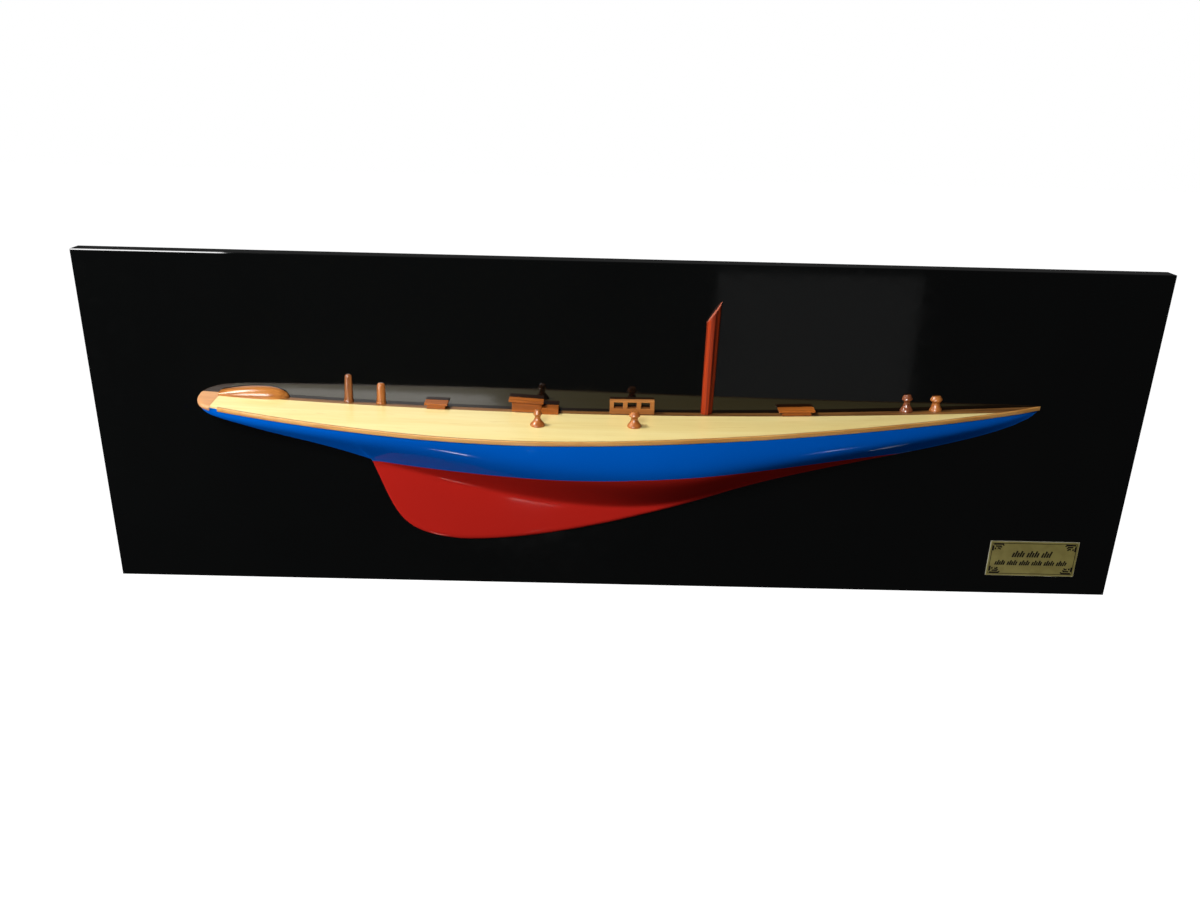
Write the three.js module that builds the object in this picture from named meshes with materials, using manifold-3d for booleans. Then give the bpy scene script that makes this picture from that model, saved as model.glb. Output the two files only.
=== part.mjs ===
// Half hull model of a long-ended racing sloop, mounted on a lacquered backboard.
// Millimetres, +Z up. The origin is the middle of the board's back face, which lies on the wall.
// The stern points to -X, the bow to +X, and the carved side faces the viewer, to -Y.
// A point of the model is given by its station along X, its outward distance from the board's
// front and its height above the board's middle.

import * as THREE from 'three';
import { mergeVertices } from 'three/addons/utils/BufferGeometryUtils.js';
import Module from 'manifold-3d';

const wasm = await Module();
wasm.setup();

// Clearance left between pieces that touch, and the least breadth that an edge tapers to
const fitGap = 0.3;
const thinnestEdge = 0.6;

// Backboard
const boardLength = 1010;
const boardHeight = 332;
const boardThickness = 18;
const boardBevel = 0.8;

// Keyhole slots in the back of the board: a screw head goes in low and the board drops onto it
const keyholeSpacing = 610;
const keyholeEntryHeight = 96;
const keyholeEntryDiameter = 10;
const keyholeNeckWidth = 5;
const keyholeTravel = 14;
const keyholeLip = 3;
const keyholeDepth = 11;

// Nameplate, placed from the board's right and bottom edges
const plateLength = 90.3;
const plateHeight = 38.8;
const plateThickness = 1;
const plateFromRight = 36.4;
const plateFromBottom = 21.3;

// Deck edge in plan as [station, half breadth], with handles that set how full each run is
const sternTip = [-401, 0];
const sternCorner = [-381, 36.8];
const beamPeak = [-95, 77.9];
const bowTip = [402, 1.2];
const sternRoundness = 24;
const cornerRoundness = 9;
const quarterFlare = [79.5, 20.7];
const quarterRun = 98;
const shoulderRun = 134;
const bowEntry = [73.4, 29];

// Sheer along the board as [station, height], with the deck's height at both ends
const sternDeckHeight = 33.7;
const bowDeckHeight = 37.2;
const sheerStern = [sternTip[0], sternDeckHeight];
const sheerAftPull = [-149, 18.4];
const sheerForePull = [98, 16.3];
const sheerBow = [bowTip[0], bowDeckHeight];

// Profile along the board from the stern to the bow, as [station, height]
const counterEnd = [-397.3, 27.6];
const counterTuck = [-397, -4];
const counterRun = [-321, -5.1];
const sternpostHead = [-242.3, -32.8];
const sternpostPull = [-218.5, -91.4];
const heelPull = [-220.2, -111.6];
const keelLowest = [-155, -116.2];
const keelRunPull = [-78.2, -116.2];
const forefootPull = [26.7, -87.2];
const forefoot = [101, -60.3];
const bowRunPull = [207.2, -21];
const stemPull = [386.9, -0.6];
const stemHeadHeight = 36;
const stemHead = [bowTip[0], stemHeadHeight];

// Bottom of the canoe body above the fin, as [station, height]
const garboardAftPull = [-182, -48];
const garboardForePull = [-24, -103.5];
const garboardEnd = [84, -66.3];

// Section shape: how fast the floor rises, how it hollows at the quarters, how sharp the bilge turns,
// and how tight the fillet is between the canoe body and the fin
const floorRise = 1.8;
const quarterHollow = 0.57;
const quarterHollowStation = -187;
const quarterHollowSpread = 169;
const bilgeTurn = 7;
const garboardFilletAft = 1.8;
const garboardFilletFore = 4;

// Half thickness of the fin keel and stem in plan, as [station, half thickness]
const heelHalf = 2.2;
const stemHalf = 1;
const finHeel = [sternpostHead[0], heelHalf];
const finAftPull = [-150, 10];
const finForePull = [0, 8];
const finStem = [bowTip[0], stemHalf];
const keelRounding = 5;

// Deck, plank along the board, rail along the sheer and cap over the stern
const deckThickness = 1.6;
const deckCamber = 0.055;
const kingPlankWidth = 8.3;
const kingPlankFlare = 4.2;
const kingPlankFlareStation = -210;
const railStation = -373;
const railThickness = 2.4;
const railDepth = 4;
const railProud = 1.2;
const railAboveDeck = 0.4;
const railArris = 0.5;
const capThickness = 4.4;
const capMiddleShare = 0.4;
const capEdge = [[0.9, 1], [0, 0.72], [0, 0.45], [0.7, 0.2], [1.9, 0.05], [3.4, 0]];

// Dinghy, upside down on the after deck
const dinghyStation = -382;
const dinghyLength = 64.8;
const dinghyHalfBeam = 11.5;
const dinghyTransomHalfBeam = 9.5;
const dinghyDepth = 9.7;
const dinghyTransomDepth = 2.8;
const dinghyBeamShare = 0.45;
const dinghyDepthShare = 0.69;
const dinghyBowFullness = 2.8;
const dinghySideFullness = 2.4;
const dinghyBowShare = 0.996;

// Turned posts against the board
const tallPost = { station: -260.8, radius: 4.2, foot: 4.8, height: 27, taper: 0.9 };
const shortPost = { station: -229.9, radius: 4.4, foot: 4.9, height: 20.2, taper: 0.6 };
const postFootHeight = 1.8;
const postFootEase = 0.8;
const postCrown = 2;

// Turned bitts against the board near the bow
const aftBitt = { station: 274.1, foot: 6.2, neck: 3.1, head: 5.1, crown: 3.3, height: 16.6 };
const foreBitt = { station: 302, foot: 6, neck: 3.7, head: 5.8, crown: 3.9, height: 14.6 };

// Capstans that stand out on the open deck
const aftCapstan = { station: -77.9, outward: 39.8, foot: 6.8, neck: 2.7, head: 4, crown: 2.6, height: 14.8 };
const foreCapstan = { station: 11.7, outward: 37.2, foot: 6.6, neck: 3.2, head: 5.2, crown: 3.4, height: 14.4 };

// Spool profile: the size it leaves, the size it nears, the share of the way and the share of the height
const spoolProfile = [
  ['foot', 'foot', 0, 0.07],
  ['foot', 'neck', 0.2, 0.15],
  ['foot', 'neck', 0.62, 0.28],
  ['foot', 'neck', 0.92, 0.42],
  ['neck', 'neck', 0, 0.54],
  ['neck', 'head', 0.35, 0.63],
  ['head', 'head', 0, 0.72],
  ['head', 'crown', 0.1, 0.8],
  ['head', 'crown', 0.7, 0.92],
  ['crown', 'crown', 0, 1],
];

// Hatches: a coaming under a lid that slopes down and out, past the coaming's ends and its front
const aftHatch = { station: -176.3, length: 17.4, outward: 9.3, overhang: 2.2, eave: 1.4 };
const foreHatch = { station: 167.5, length: 28, outward: 9.3, overhang: 3.2, eave: 1.7 };
const coamingHeight = 4.2;
const lidThickness = 1.9;
const lidSlope = 0.07;

// Companionway: a house under a roof that falls towards the bow, and a lower box against its fore end
const houseStation = -90;
const houseLength = 28.4;
const houseOutward = 8;
const houseHeight = 9.9;
const roofAftOverhang = 2.9;
const roofForeOverhang = 1.7;
const roofEave = 3;
const roofThickness = 2;
const roofSlope = 0.02;
const roofFall = 0.045;
const boxLength = 15.8;
const boxOutward = 12.6;
const boxHeight = 5.8;

// Skylight: a block with square lights cut through to the board
const skylightStation = 10.4;
const skylightLength = 42.6;
const skylightOutward = 6.2;
const skylightHeight = 13.2;
const lightCount = 3;
const lightWidth = 8.6;
const lightHeight = 6;
const lightPitch = 13;
const lightSill = 5.6;

// Mast, wider at the top, raked a little, and cut off between two [forward, height] corners
const mastStation = 82;
const mastFootWidth = 11.2;
const mastTopWidth = 12.8;
const mastDepth = 6;
const mastRake = 0.0165;
const mastLip = [-4.8, 89.2];
const mastTip = [8.2, 109];

// How finely curves are divided, and small construction allowances
const stationSpacing = 13;
const finSpacing = 7;
const endSpacing = 4;
const sideSteps = 10;
const finSteps = 6;
const filletShare = 0.06;
const garboardShare = 0.15;
const crownSteps = 3;
const rimSteps = 14;
const dinghySteps = 12;
const dinghySideSteps = 7;
const turnSegments = 24;
const halvings = 40;
const stepWidth = 0.05;
const overcut = 1;
const scribeDepth = 3;

const boardFront = -boardThickness;
const standoff = boardFront - fitGap;
const deckEnd = sternCorner[0];

// Outline piece that runs forward along the stations
function outline(...pairs) {
  return new THREE.CubicBezierCurve(...pairs.map(([station, value]) => new THREE.Vector2(station, value)));
}

// Value of an outline at one station
function outlineAt(pieces, station) {
  const run = pieces.find((candidate) => station <= candidate.v3.x) ?? pieces[pieces.length - 1];
  let low = 0;
  let high = 1;
  for (let halving = 0; halving < halvings; halving += 1) {
    const middle = (low + high) / 2;
    if (run.getPoint(middle).x < station) {
      low = middle;
    } else {
      high = middle;
    }
  }
  return run.getPoint(low).y;
}

const cornerSlope = quarterFlare[1] / quarterFlare[0];
const sternRound = outline(
  sternTip,
  [sternTip[0], sternRoundness],
  [sternCorner[0] - cornerRoundness, sternCorner[1] - cornerRoundness * cornerSlope],
  sternCorner,
);
const quarter = outline(
  sternCorner,
  [sternCorner[0] + quarterFlare[0], sternCorner[1] + quarterFlare[1]],
  [beamPeak[0] - quarterRun, beamPeak[1]],
  beamPeak,
);
const shoulder = outline(
  beamPeak,
  [beamPeak[0] + shoulderRun, beamPeak[1]],
  [bowTip[0] - bowEntry[0], bowEntry[1]],
  bowTip,
);
const deckPlan = [sternRound, quarter, shoulder];
const sheer = [outline(sheerStern, sheerAftPull, sheerForePull, sheerBow)];
const counter = outline(counterEnd, counterTuck, counterRun, sternpostHead);
const profile = [
  counter,
  outline(sternpostHead, sternpostPull, heelPull, keelLowest),
  outline(keelLowest, keelRunPull, forefootPull, forefoot),
  outline(forefoot, bowRunPull, stemPull, stemHead),
];
const canoeBottom = [counter, outline(sternpostHead, garboardAftPull, garboardForePull, garboardEnd)];
const finPlan = [outline(finHeel, finAftPull, finForePull, finStem)];

function deckEdge(station) {
  return outlineAt(deckPlan, station);
}

function deckHeight(station, outward) {
  const edge = deckEdge(station);
  const share = THREE.MathUtils.clamp(outward / edge, 0, 1);
  return outlineAt(sheer, station) - deckCamber * edge * share ** 2;
}

function keelHeight(station) {
  return outlineAt(profile, station);
}

function floorHeight(station) {
  const keel = keelHeight(station);
  return station < garboardEnd[0] ? Math.max(outlineAt(canoeBottom, station), keel) : keel;
}

// Rounds a rising value off against one, which turns the floor into the topside
function turnOff(value) {
  return (value ** -bilgeTurn + 1) ** (-1 / bilgeTurn);
}

function topsideBreadth(station) {
  return Math.max(deckEdge(station) - railProud, thinnestEdge);
}

// Outward distance of the hull's surface at a station and height: canoe body and fin, filleted
function hullBreadth(station, height) {
  const side = topsideBreadth(station);
  const top = deckHeight(station, side);
  const keel = keelHeight(station);
  const floor = floorHeight(station);
  const share = THREE.MathUtils.clamp((height - floor) / (top - floor), 0, 1);
  const offPeak = (station - quarterHollowStation) / quarterHollowSpread;
  const rise = floorRise - quarterHollow * Math.exp(-(offPeak ** 2));
  const canoe = side * turnOff(rise * share) / turnOff(rise);
  const above = THREE.MathUtils.clamp((height - keel) / Math.min(keelRounding, top - keel), 0, 1);
  const halfFin = station < sternpostHead[0] ? 0 : Math.min(outlineAt(finPlan, station), side / 2);
  const fin = halfFin * Math.sqrt(1 - (1 - above) ** 2) * (1 - share);
  const along = (station - sternpostHead[0]) / (garboardEnd[0] - sternpostHead[0]);
  const fillet = THREE.MathUtils.lerp(garboardFilletAft, garboardFilletFore, THREE.MathUtils.clamp(along, 0, 1));
  return (canoe ** fillet + fin ** fillet) ** (1 / fillet);
}

function railInner(station) {
  return deckEdge(station) - railThickness;
}

function kingPlankEdge(station) {
  const run = Math.max(station - kingPlankFlareStation, 0) / (bowTip[0] - kingPlankFlareStation);
  return Math.min(kingPlankWidth + kingPlankFlare * run ** 2, railInner(station) - fitGap);
}

// Station forward of the widest beam where a narrowing breadth falls to a limit
function narrowsTo(breadthAt, limit) {
  let low = beamPeak[0];
  let high = bowTip[0];
  for (let halving = 0; halving < halvings; halving += 1) {
    const middle = (low + high) / 2;
    if (breadthAt(middle) > limit) {
      low = middle;
    } else {
      high = middle;
    }
  }
  return low;
}

// Evenly spaced values from one to another, in a number of steps
function divided(from, to, count) {
  return Array.from({ length: count + 1 }, (_, index) => from + (to - from) * index / count);
}

// Evenly spaced values from one to another, no further apart than the spacing
function spaced(from, to, spacing) {
  return divided(from, to, Math.max(1, Math.ceil((to - from) / spacing)));
}

// Values from one to another, closer together at both ends
function eased(from, to, count) {
  return divided(0, 1, count).map((share) => {
    return THREE.MathUtils.lerp(from, to, (share + (1 - Math.cos(Math.PI * share)) / 2) / 2);
  });
}

// Runs of stations joined end to end
function chain(...runs) {
  return runs.flat().filter((station, index, all) => index === 0 || station > all[index - 1]);
}

// Closed mesh from points and triangles, turned so that its faces look out
function closedMesh(points, triangles) {
  const corner = (index) => new THREE.Vector3(...points[index]);
  const volume = triangles.reduce((sum, [a, b, c]) => sum + corner(a).dot(corner(b).cross(corner(c))), 0);
  const facing = volume < 0 ? triangles.map(([a, b, c]) => [a, c, b]) : triangles;
  const geometry = new THREE.BufferGeometry();
  geometry.setAttribute('position', new THREE.Float32BufferAttribute(points.flat(), 3));
  geometry.setIndex(facing.flat());
  return geometry;
}

function middleOf(ring) {
  return [0, 1, 2].map((axis) => ring.reduce((sum, point) => sum + point[axis], 0) / ring.length);
}

function distance(from, to) {
  return Math.hypot(...from.map((value, axis) => value - to[axis]));
}

// Skin over rings with the same number of [x, y, z] points each, closed at both ends by a fan
function skin(rings, middles = [rings[0], rings[rings.length - 1]].map(middleOf)) {
  const size = rings[0].length;
  const points = [...rings.flat(), ...middles];
  const lastRow = (rings.length - 1) * size;
  const firstMiddle = rings.length * size;
  const triangles = [];
  for (let row = 0; row < lastRow; row += size) {
    for (let column = 0; column < size; column += 1) {
      const a = row + column;
      const b = row + (column + 1) % size;
      const c = a + size;
      const d = b + size;
      if (distance(points[b], points[c]) < distance(points[a], points[d])) {
        triangles.push([a, b, c], [b, d, c]);
      } else {
        triangles.push([a, b, d], [a, d, c]);
      }
    }
  }
  for (let column = 0; column < size; column += 1) {
    const next = (column + 1) % size;
    triangles.push([firstMiddle, next, column], [firstMiddle + 1, lastRow + column, lastRow + next]);
  }
  return closedMesh(points, triangles);
}

// Skin through cross sections, each a ring of [outward, height] pairs at its station
function loft(stations, sectionAt) {
  const rings = stations.map((station) => {
    return sectionAt(station).map(([outward, height]) => [station, boardFront - outward, height]);
  });
  return skin(rings);
}

// Closed mesh to boolean solid
function solidOf(geometry) {
  const bare = geometry.clone();
  bare.deleteAttribute('normal');
  bare.deleteAttribute('uv');
  const merged = mergeVertices(bare);
  const vertProperties = new Float32Array(merged.attributes.position.array);
  const triVerts = new Uint32Array(merged.index.array);
  return new wasm.Manifold(new wasm.Mesh({ numProp: 3, vertProperties, triVerts }));
}

// Boolean solid back to a mesh
function geometryOf(solid) {
  const mesh = solid.getMesh();
  const geometry = new THREE.BufferGeometry();
  geometry.setAttribute('position', new THREE.BufferAttribute(mesh.vertProperties, mesh.numProp));
  geometry.setIndex(new THREE.BufferAttribute(mesh.triVerts, 1));
  return geometry;
}

function boxBetween(low, high) {
  const size = high.map((value, axis) => value - low[axis]);
  return new THREE.BoxGeometry(...size).translate(...low.map((value, axis) => value + size[axis] / 2));
}

// Prism along X with corners given as [outward, height] pairs from a fitting's own origin. The corners
// above the deck may fall by a share of the distance forward.
function prism(corners, fromX, toX, fall = 0) {
  const ringAt = (x) => corners.map(([outward, height]) => {
    return [x, -outward, height > 0 ? height - fall * x : height];
  });
  return skin([ringAt(fromX), ringAt(toX)]);
}

// Turned shape about a vertical axis, from [radius, height] pairs that start and end on the axis
function turned(pairs) {
  const points = pairs.map(([radius, height]) => new THREE.Vector2(radius, height));
  return new THREE.LatheGeometry(points, turnSegments).rotateX(Math.PI / 2);
}

// Front half of a fitting, cut flat where it stands against the board
function frontHalf(geometry, reach) {
  const front = solidOf(boxBetween([-reach, -reach, -reach], [reach, 0, reach]));
  return geometryOf(solidOf(geometry).intersect(front));
}

function finish(color, roughness, metalness = 0) {
  return new THREE.MeshStandardMaterial({ color, roughness, metalness });
}

function piece(name, geometry, material) {
  geometry.computeVertexNormals();
  const mesh = new THREE.Mesh(geometry, material);
  mesh.name = name;
  return mesh;
}

// Everything below the laid deck under a fitting, with the clearance on top
function deckBody(fromStation, toStation, reach) {
  const across = divided(0, reach, crownSteps);
  return loft(spaced(fromStation, toStation, stationSpacing), (station) => {
    const top = across.map((outward) => [outward, deckHeight(station, outward) + fitGap]);
    const bottom = deckHeight(station, reach) - reach;
    return [[-reach, bottom], [-reach, top[0][1]], ...top, [reach, bottom]];
  });
}

// Stands a fitting on the deck and scribes its foot to the camber and the sheer
function onDeck(name, geometry, material, { station, outward = 0, upright = false }) {
  const slope = deckHeight(station + 1, outward) - deckHeight(station, outward);
  const mesh = piece(name, geometry, material);
  mesh.position.set(station, standoff - outward, deckHeight(station, outward));
  mesh.rotation.y = upright ? 0 : -Math.atan(slope);
  mesh.updateMatrix();
  geometry.computeBoundingBox();
  const { min, max } = geometry.boundingBox;
  const reach = outward - min.y + overcut;
  const below = deckBody(station + min.x - overcut, station + max.x + overcut, reach);
  below.applyMatrix4(mesh.matrix.clone().invert());
  mesh.geometry = geometryOf(solidOf(geometry).subtract(solidOf(below)));
  mesh.geometry.computeVertexNormals();
  return mesh;
}

const lacquer = finish(0x080b0b, 0.12);
const brass = finish(0xa39a62, 0.4, 0.8);
const hullPaint = finish(0x0452a6, 0.25);
const paleWood = finish(0xf3dd9a, 0.45);
const plankWood = finish(0x9a6a34, 0.45);
const railWood = finish(0xd9a45c, 0.4);
const bareWood = finish(0xdda878, 0.5);
const houseWood = finish(0xb26a2c, 0.3);
const turnedWood = finish(0xb9703a, 0.35);
const mastWood = finish(0x7c1d12, 0.25);

// Slot with round ends, routed into the back of the board from one depth to another
function routedSlot(station, width, topHeight, fromDepth, toDepth) {
  const shape = new THREE.Shape();
  shape.absarc(0, topHeight, width / 2, 0, Math.PI);
  shape.absarc(0, keyholeEntryHeight, width / 2, Math.PI, 2 * Math.PI);
  const slot = new THREE.ExtrudeGeometry(shape, {
    depth: toDepth - fromDepth,
    bevelEnabled: false,
    curveSegments: turnSegments / 3,
  });
  return solidOf(slot.rotateX(Math.PI / 2).translate(station, -fromDepth, 0));
}

// Entry hole, a narrow neck above it, and a wide run for the screw head behind the neck
function keyhole(station) {
  const entryTop = keyholeEntryHeight + stepWidth;
  const slotTop = keyholeEntryHeight + keyholeTravel;
  const entry = routedSlot(station, keyholeEntryDiameter, entryTop, -overcut, keyholeDepth);
  const neck = routedSlot(station, keyholeNeckWidth, slotTop, -overcut, keyholeDepth);
  const run = routedSlot(station, keyholeEntryDiameter, slotTop, keyholeLip, keyholeDepth);
  return entry.add(neck).add(run);
}

function backboard() {
  const ringAt = (depth, inset) => {
    const x = boardLength / 2 - inset;
    const z = boardHeight / 2 - inset;
    return [[-x, -depth, -z], [x, -depth, -z], [x, -depth, z], [-x, -depth, z]];
  };
  const slab = skin([
    ringAt(0, boardBevel),
    ringAt(boardBevel, 0),
    ringAt(boardThickness - boardBevel, 0),
    ringAt(boardThickness, boardBevel),
  ]);
  const left = keyhole(-keyholeSpacing / 2);
  const right = keyhole(keyholeSpacing / 2);
  return piece('backboard', geometryOf(solidOf(slab).subtract(left).subtract(right)), lacquer);
}

function nameplate() {
  const mesh = piece('nameplate', new THREE.BoxGeometry(plateLength, plateThickness, plateHeight), brass);
  mesh.position.set(
    boardLength / 2 - plateFromRight - plateLength / 2,
    standoff - plateThickness / 2,
    -boardHeight / 2 + plateFromBottom + plateHeight / 2,
  );
  return mesh;
}

function hullSection(station) {
  const layer = station < deckEnd ? capThickness : deckThickness;
  const keel = keelHeight(station);
  const topAt = (outward) => Math.max(deckHeight(station, outward) - layer - fitGap, keel + fitGap);
  const sideTop = topAt(topsideBreadth(station));
  const garboard = Math.max(
    THREE.MathUtils.lerp(floorHeight(station), sideTop, filletShare),
    THREE.MathUtils.lerp(keel, sideTop, garboardShare),
  );
  const heights = [...eased(sideTop, garboard, sideSteps), ...eased(garboard, keel, finSteps).slice(1, -1)];
  const side = heights.map((height) => [Math.max(hullBreadth(station, height), thinnestEdge), height]);
  const crown = Array.from({ length: crownSteps }, (_, index) => {
    const outward = THREE.MathUtils.lerp(fitGap, side[0][0], index / crownSteps);
    return [outward, topAt(outward)];
  });
  return [...side, [fitGap, keel], ...crown];
}

// Room cut out of the hull's upper edge for the rail, with clearance behind it and below it
function railRebate() {
  const stations = chain(
    [railStation - fitGap],
    spaced(railStation, beamPeak[0], stationSpacing),
    spaced(beamPeak[0], bowTip[0] + overcut, stationSpacing),
  );
  return loft(stations, (station) => {
    const outer = deckEdge(station);
    const inner = outer - railThickness - fitGap;
    const bottom = deckHeight(station, outer) + railAboveDeck - railDepth - fitGap;
    const top = bottom + 2 * railDepth;
    return [[inner, bottom], [outer + overcut, bottom], [outer + overcut, top], [inner, top]];
  });
}

function hull() {
  const stations = chain(
    spaced(counterEnd[0], deckEnd - stepWidth, endSpacing),
    spaced(deckEnd, sternpostHead[0] - stepWidth, stationSpacing),
    spaced(sternpostHead[0] + stepWidth, keelLowest[0], finSpacing),
    spaced(keelLowest[0], beamPeak[0], stationSpacing),
    spaced(beamPeak[0], stemPull[0], stationSpacing),
    spaced(stemPull[0], narrowsTo(deckEdge, railProud + thinnestEdge), endSpacing),
  );
  const body = solidOf(loft(stations, hullSection));
  return piece('hull', geometryOf(body.subtract(solidOf(railRebate()))), hullPaint);
}

// Layer of the deck between two edges in plan, bent to the camber in so many steps
function deckLayer(stations, innerAt, outerAt, steps) {
  return loft(stations, (station) => {
    const inner = innerAt(station);
    const outer = outerAt(station);
    const across = divided(inner, outer, steps);
    const top = across.map((outward) => [outward, deckHeight(station, outward)]);
    const bottom = top.map(([outward, height]) => [outward, height - deckThickness]);
    return [...bottom, ...top.reverse()];
  });
}

function deck() {
  const stepStation = railStation - fitGap;
  const innerAt = (station) => kingPlankEdge(station) + fitGap;
  const outerAt = (station) => {
    return station < stepStation ? topsideBreadth(station) : railInner(station) - fitGap;
  };
  const tip = narrowsTo((station) => outerAt(station) - innerAt(station), thinnestEdge);
  const stations = chain(
    [deckEnd + fitGap, stepStation - stepWidth],
    spaced(stepStation, beamPeak[0], stationSpacing),
    spaced(beamPeak[0], tip, stationSpacing),
  );
  return piece('deck', deckLayer(stations, innerAt, outerAt, crownSteps), paleWood);
}

function kingPlank() {
  const stations = chain(
    spaced(deckEnd + fitGap, beamPeak[0], stationSpacing),
    spaced(beamPeak[0], narrowsTo(kingPlankEdge, fitGap + thinnestEdge), stationSpacing),
  );
  return piece('king_plank', deckLayer(stations, () => fitGap, kingPlankEdge, 1), plankWood);
}

function rubRail() {
  const stations = chain(
    spaced(railStation, beamPeak[0], stationSpacing),
    spaced(beamPeak[0], bowTip[0], stationSpacing),
  );
  const rail = loft(stations, (station) => {
    const outer = deckEdge(station);
    const inner = Math.max(railInner(station), fitGap);
    const arris = Math.min(railArris, (outer - inner) / 3);
    const top = deckHeight(station, outer) + railAboveDeck;
    const bottom = top - railDepth;
    return [
      [inner, bottom],
      [outer - arris, bottom],
      [outer, bottom + arris],
      [outer, top - arris],
      [outer - arris, top],
      [inner, top],
    ];
  });
  return piece('rub_rail', rail, railWood);
}

// Rounded plan of the stern, drawn in and lowered level by level to ease the cap's edge
function sternCap() {
  const anchor = deckEnd - fitGap;
  const length = anchor - sternTip[0];
  const breadth = deckEdge(anchor);
  const round = divided(0, 1, rimSteps).map((share) => {
    const { x, y } = sternRound.getPoint(share);
    return [Math.min(x, anchor), y];
  });
  const joint = divided(breadth, 0, crownSteps).slice(1).map((outward) => [anchor, outward]);
  const capPoint = ([station, outward], inset, share) => {
    const x = anchor - (anchor - station) * (1 - inset / length);
    const kept = Math.max(outward * (1 - inset / breadth), fitGap);
    return [x, boardFront - kept, deckHeight(x, kept) - capThickness * share];
  };
  const middle = [THREE.MathUtils.lerp(anchor, sternTip[0], capMiddleShare), breadth * capMiddleShare];
  const rings = capEdge.map(([inset, share]) => {
    return [...round, ...joint].map((point) => capPoint(point, inset, share));
  });
  return piece('stern_cap', skin(rings, [capPoint(middle, 0, 1), capPoint(middle, 0, 0)]), bareWood);
}

// Half breadth of the dinghy at a share of its length from the transom
function dinghyBreadth(place) {
  const aft = 1 - place / dinghyBeamShare;
  const fore = (place - dinghyBeamShare) / (1 - dinghyBeamShare);
  return aft > 0
    ? THREE.MathUtils.lerp(dinghyHalfBeam, dinghyTransomHalfBeam, aft ** 2)
    : dinghyHalfBeam * Math.sqrt(1 - fore ** dinghyBowFullness);
}

// Height of the dinghy's upturned bottom at a share of its length from the transom
function dinghyRise(place) {
  const aft = 1 - place / dinghyDepthShare;
  const fore = (place - dinghyDepthShare) / (1 - dinghyDepthShare);
  return aft > 0
    ? THREE.MathUtils.lerp(dinghyDepth, dinghyTransomDepth, aft ** 2)
    : dinghyDepth * Math.sqrt(1 - fore ** 2);
}

// Upturned half dinghy, with its sections closer together towards the bluff bow
function dinghy() {
  const power = 2 / dinghySideFullness;
  const rings = divided(0, Math.PI / 2, dinghySteps).map((swing) => {
    const place = Math.sin(swing) * dinghyBowShare;
    const beam = dinghyBreadth(place);
    const rise = dinghyRise(place);
    const side = divided(0, Math.PI / 2, dinghySideSteps).map((angle) => {
      return [Math.abs(Math.cos(angle)) ** power * beam, Math.sin(angle) ** power * rise];
    });
    const section = [[0, -scribeDepth], [beam, -scribeDepth], ...side];
    return section.map(([outward, height]) => [place * dinghyLength, -outward, height]);
  });
  return onDeck('dinghy', skin(rings), houseWood, { station: dinghyStation });
}

// Post turned with a low foot, a slight taper and a rounded top
function post(name, { station, radius, foot, height, taper }) {
  const top = radius - taper;
  const crown = divided(0, Math.PI / 2, crownSteps).map((angle) => {
    return [top - postCrown * (1 - Math.cos(angle)), height - postCrown * (1 - Math.sin(angle))];
  });
  const pairs = [
    [0, -scribeDepth],
    [foot, -scribeDepth],
    [foot, postFootHeight - postFootEase],
    [radius, postFootHeight],
    ...crown,
    [0, height],
  ];
  const geometry = frontHalf(turned(pairs), 2 * height);
  return onDeck(name, geometry, turnedWood, { station });
}

// Spool with a bell foot, a waist, and a head that is widest at its lower rim
function spool(sizes) {
  const pairs = spoolProfile.map(([from, to, share, rise]) => {
    return [THREE.MathUtils.lerp(sizes[from], sizes[to], share), sizes.height * rise];
  });
  return [[0, -scribeDepth], [sizes.foot, -scribeDepth], ...pairs, [0, sizes.height]];
}

function bitt(name, sizes) {
  const geometry = frontHalf(turned(spool(sizes)), 2 * sizes.height);
  return onDeck(name, geometry, turnedWood, { station: sizes.station });
}

function capstan(name, sizes) {
  return onDeck(name, turned(spool(sizes)), turnedWood, sizes);
}

// Coaming with a sloping top, and the lid that lies on it and overhangs it
function hatch(prefix, { station, length, outward, overhang, eave }) {
  const half = length / 2;
  const lidReach = outward + eave;
  const lidAt = (reach) => coamingHeight + fitGap - lidSlope * reach;
  const coaming = prism([
    [0, -scribeDepth],
    [outward, -scribeDepth],
    [outward, coamingHeight - lidSlope * outward],
    [0, coamingHeight],
  ], -half, half);
  const lid = prism([
    [0, lidAt(0)],
    [lidReach, lidAt(lidReach)],
    [lidReach, lidAt(lidReach) + lidThickness],
    [0, lidAt(0) + lidThickness],
  ], -half - overhang, half + overhang);
  return [
    onDeck(`${prefix}_coaming`, coaming, houseWood, { station }),
    onDeck(`${prefix}_lid`, lid, houseWood, { station }),
  ];
}

function companionway() {
  const half = houseLength / 2;
  const roofReach = houseOutward + roofEave;
  const roofAt = (reach) => houseHeight + fitGap - roofSlope * reach;
  const house = prism([
    [0, -scribeDepth],
    [houseOutward, -scribeDepth],
    [houseOutward, houseHeight - roofSlope * houseOutward],
    [0, houseHeight],
  ], -half, half, roofFall);
  const roof = prism([
    [0, roofAt(0)],
    [roofReach, roofAt(roofReach)],
    [roofReach, roofAt(roofReach) + roofThickness],
    [0, roofAt(0) + roofThickness],
  ], -half - roofAftOverhang, half + roofForeOverhang, roofFall);
  const boxStart = half + fitGap;
  const box = boxBetween([boxStart, -boxOutward, -scribeDepth], [boxStart + boxLength, 0, boxHeight]);
  const place = { station: houseStation };
  return [
    onDeck('companionway_house', house, houseWood, place),
    onDeck('companionway_roof', roof, houseWood, place),
    onDeck('companionway_box', box, houseWood, place),
  ];
}

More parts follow.
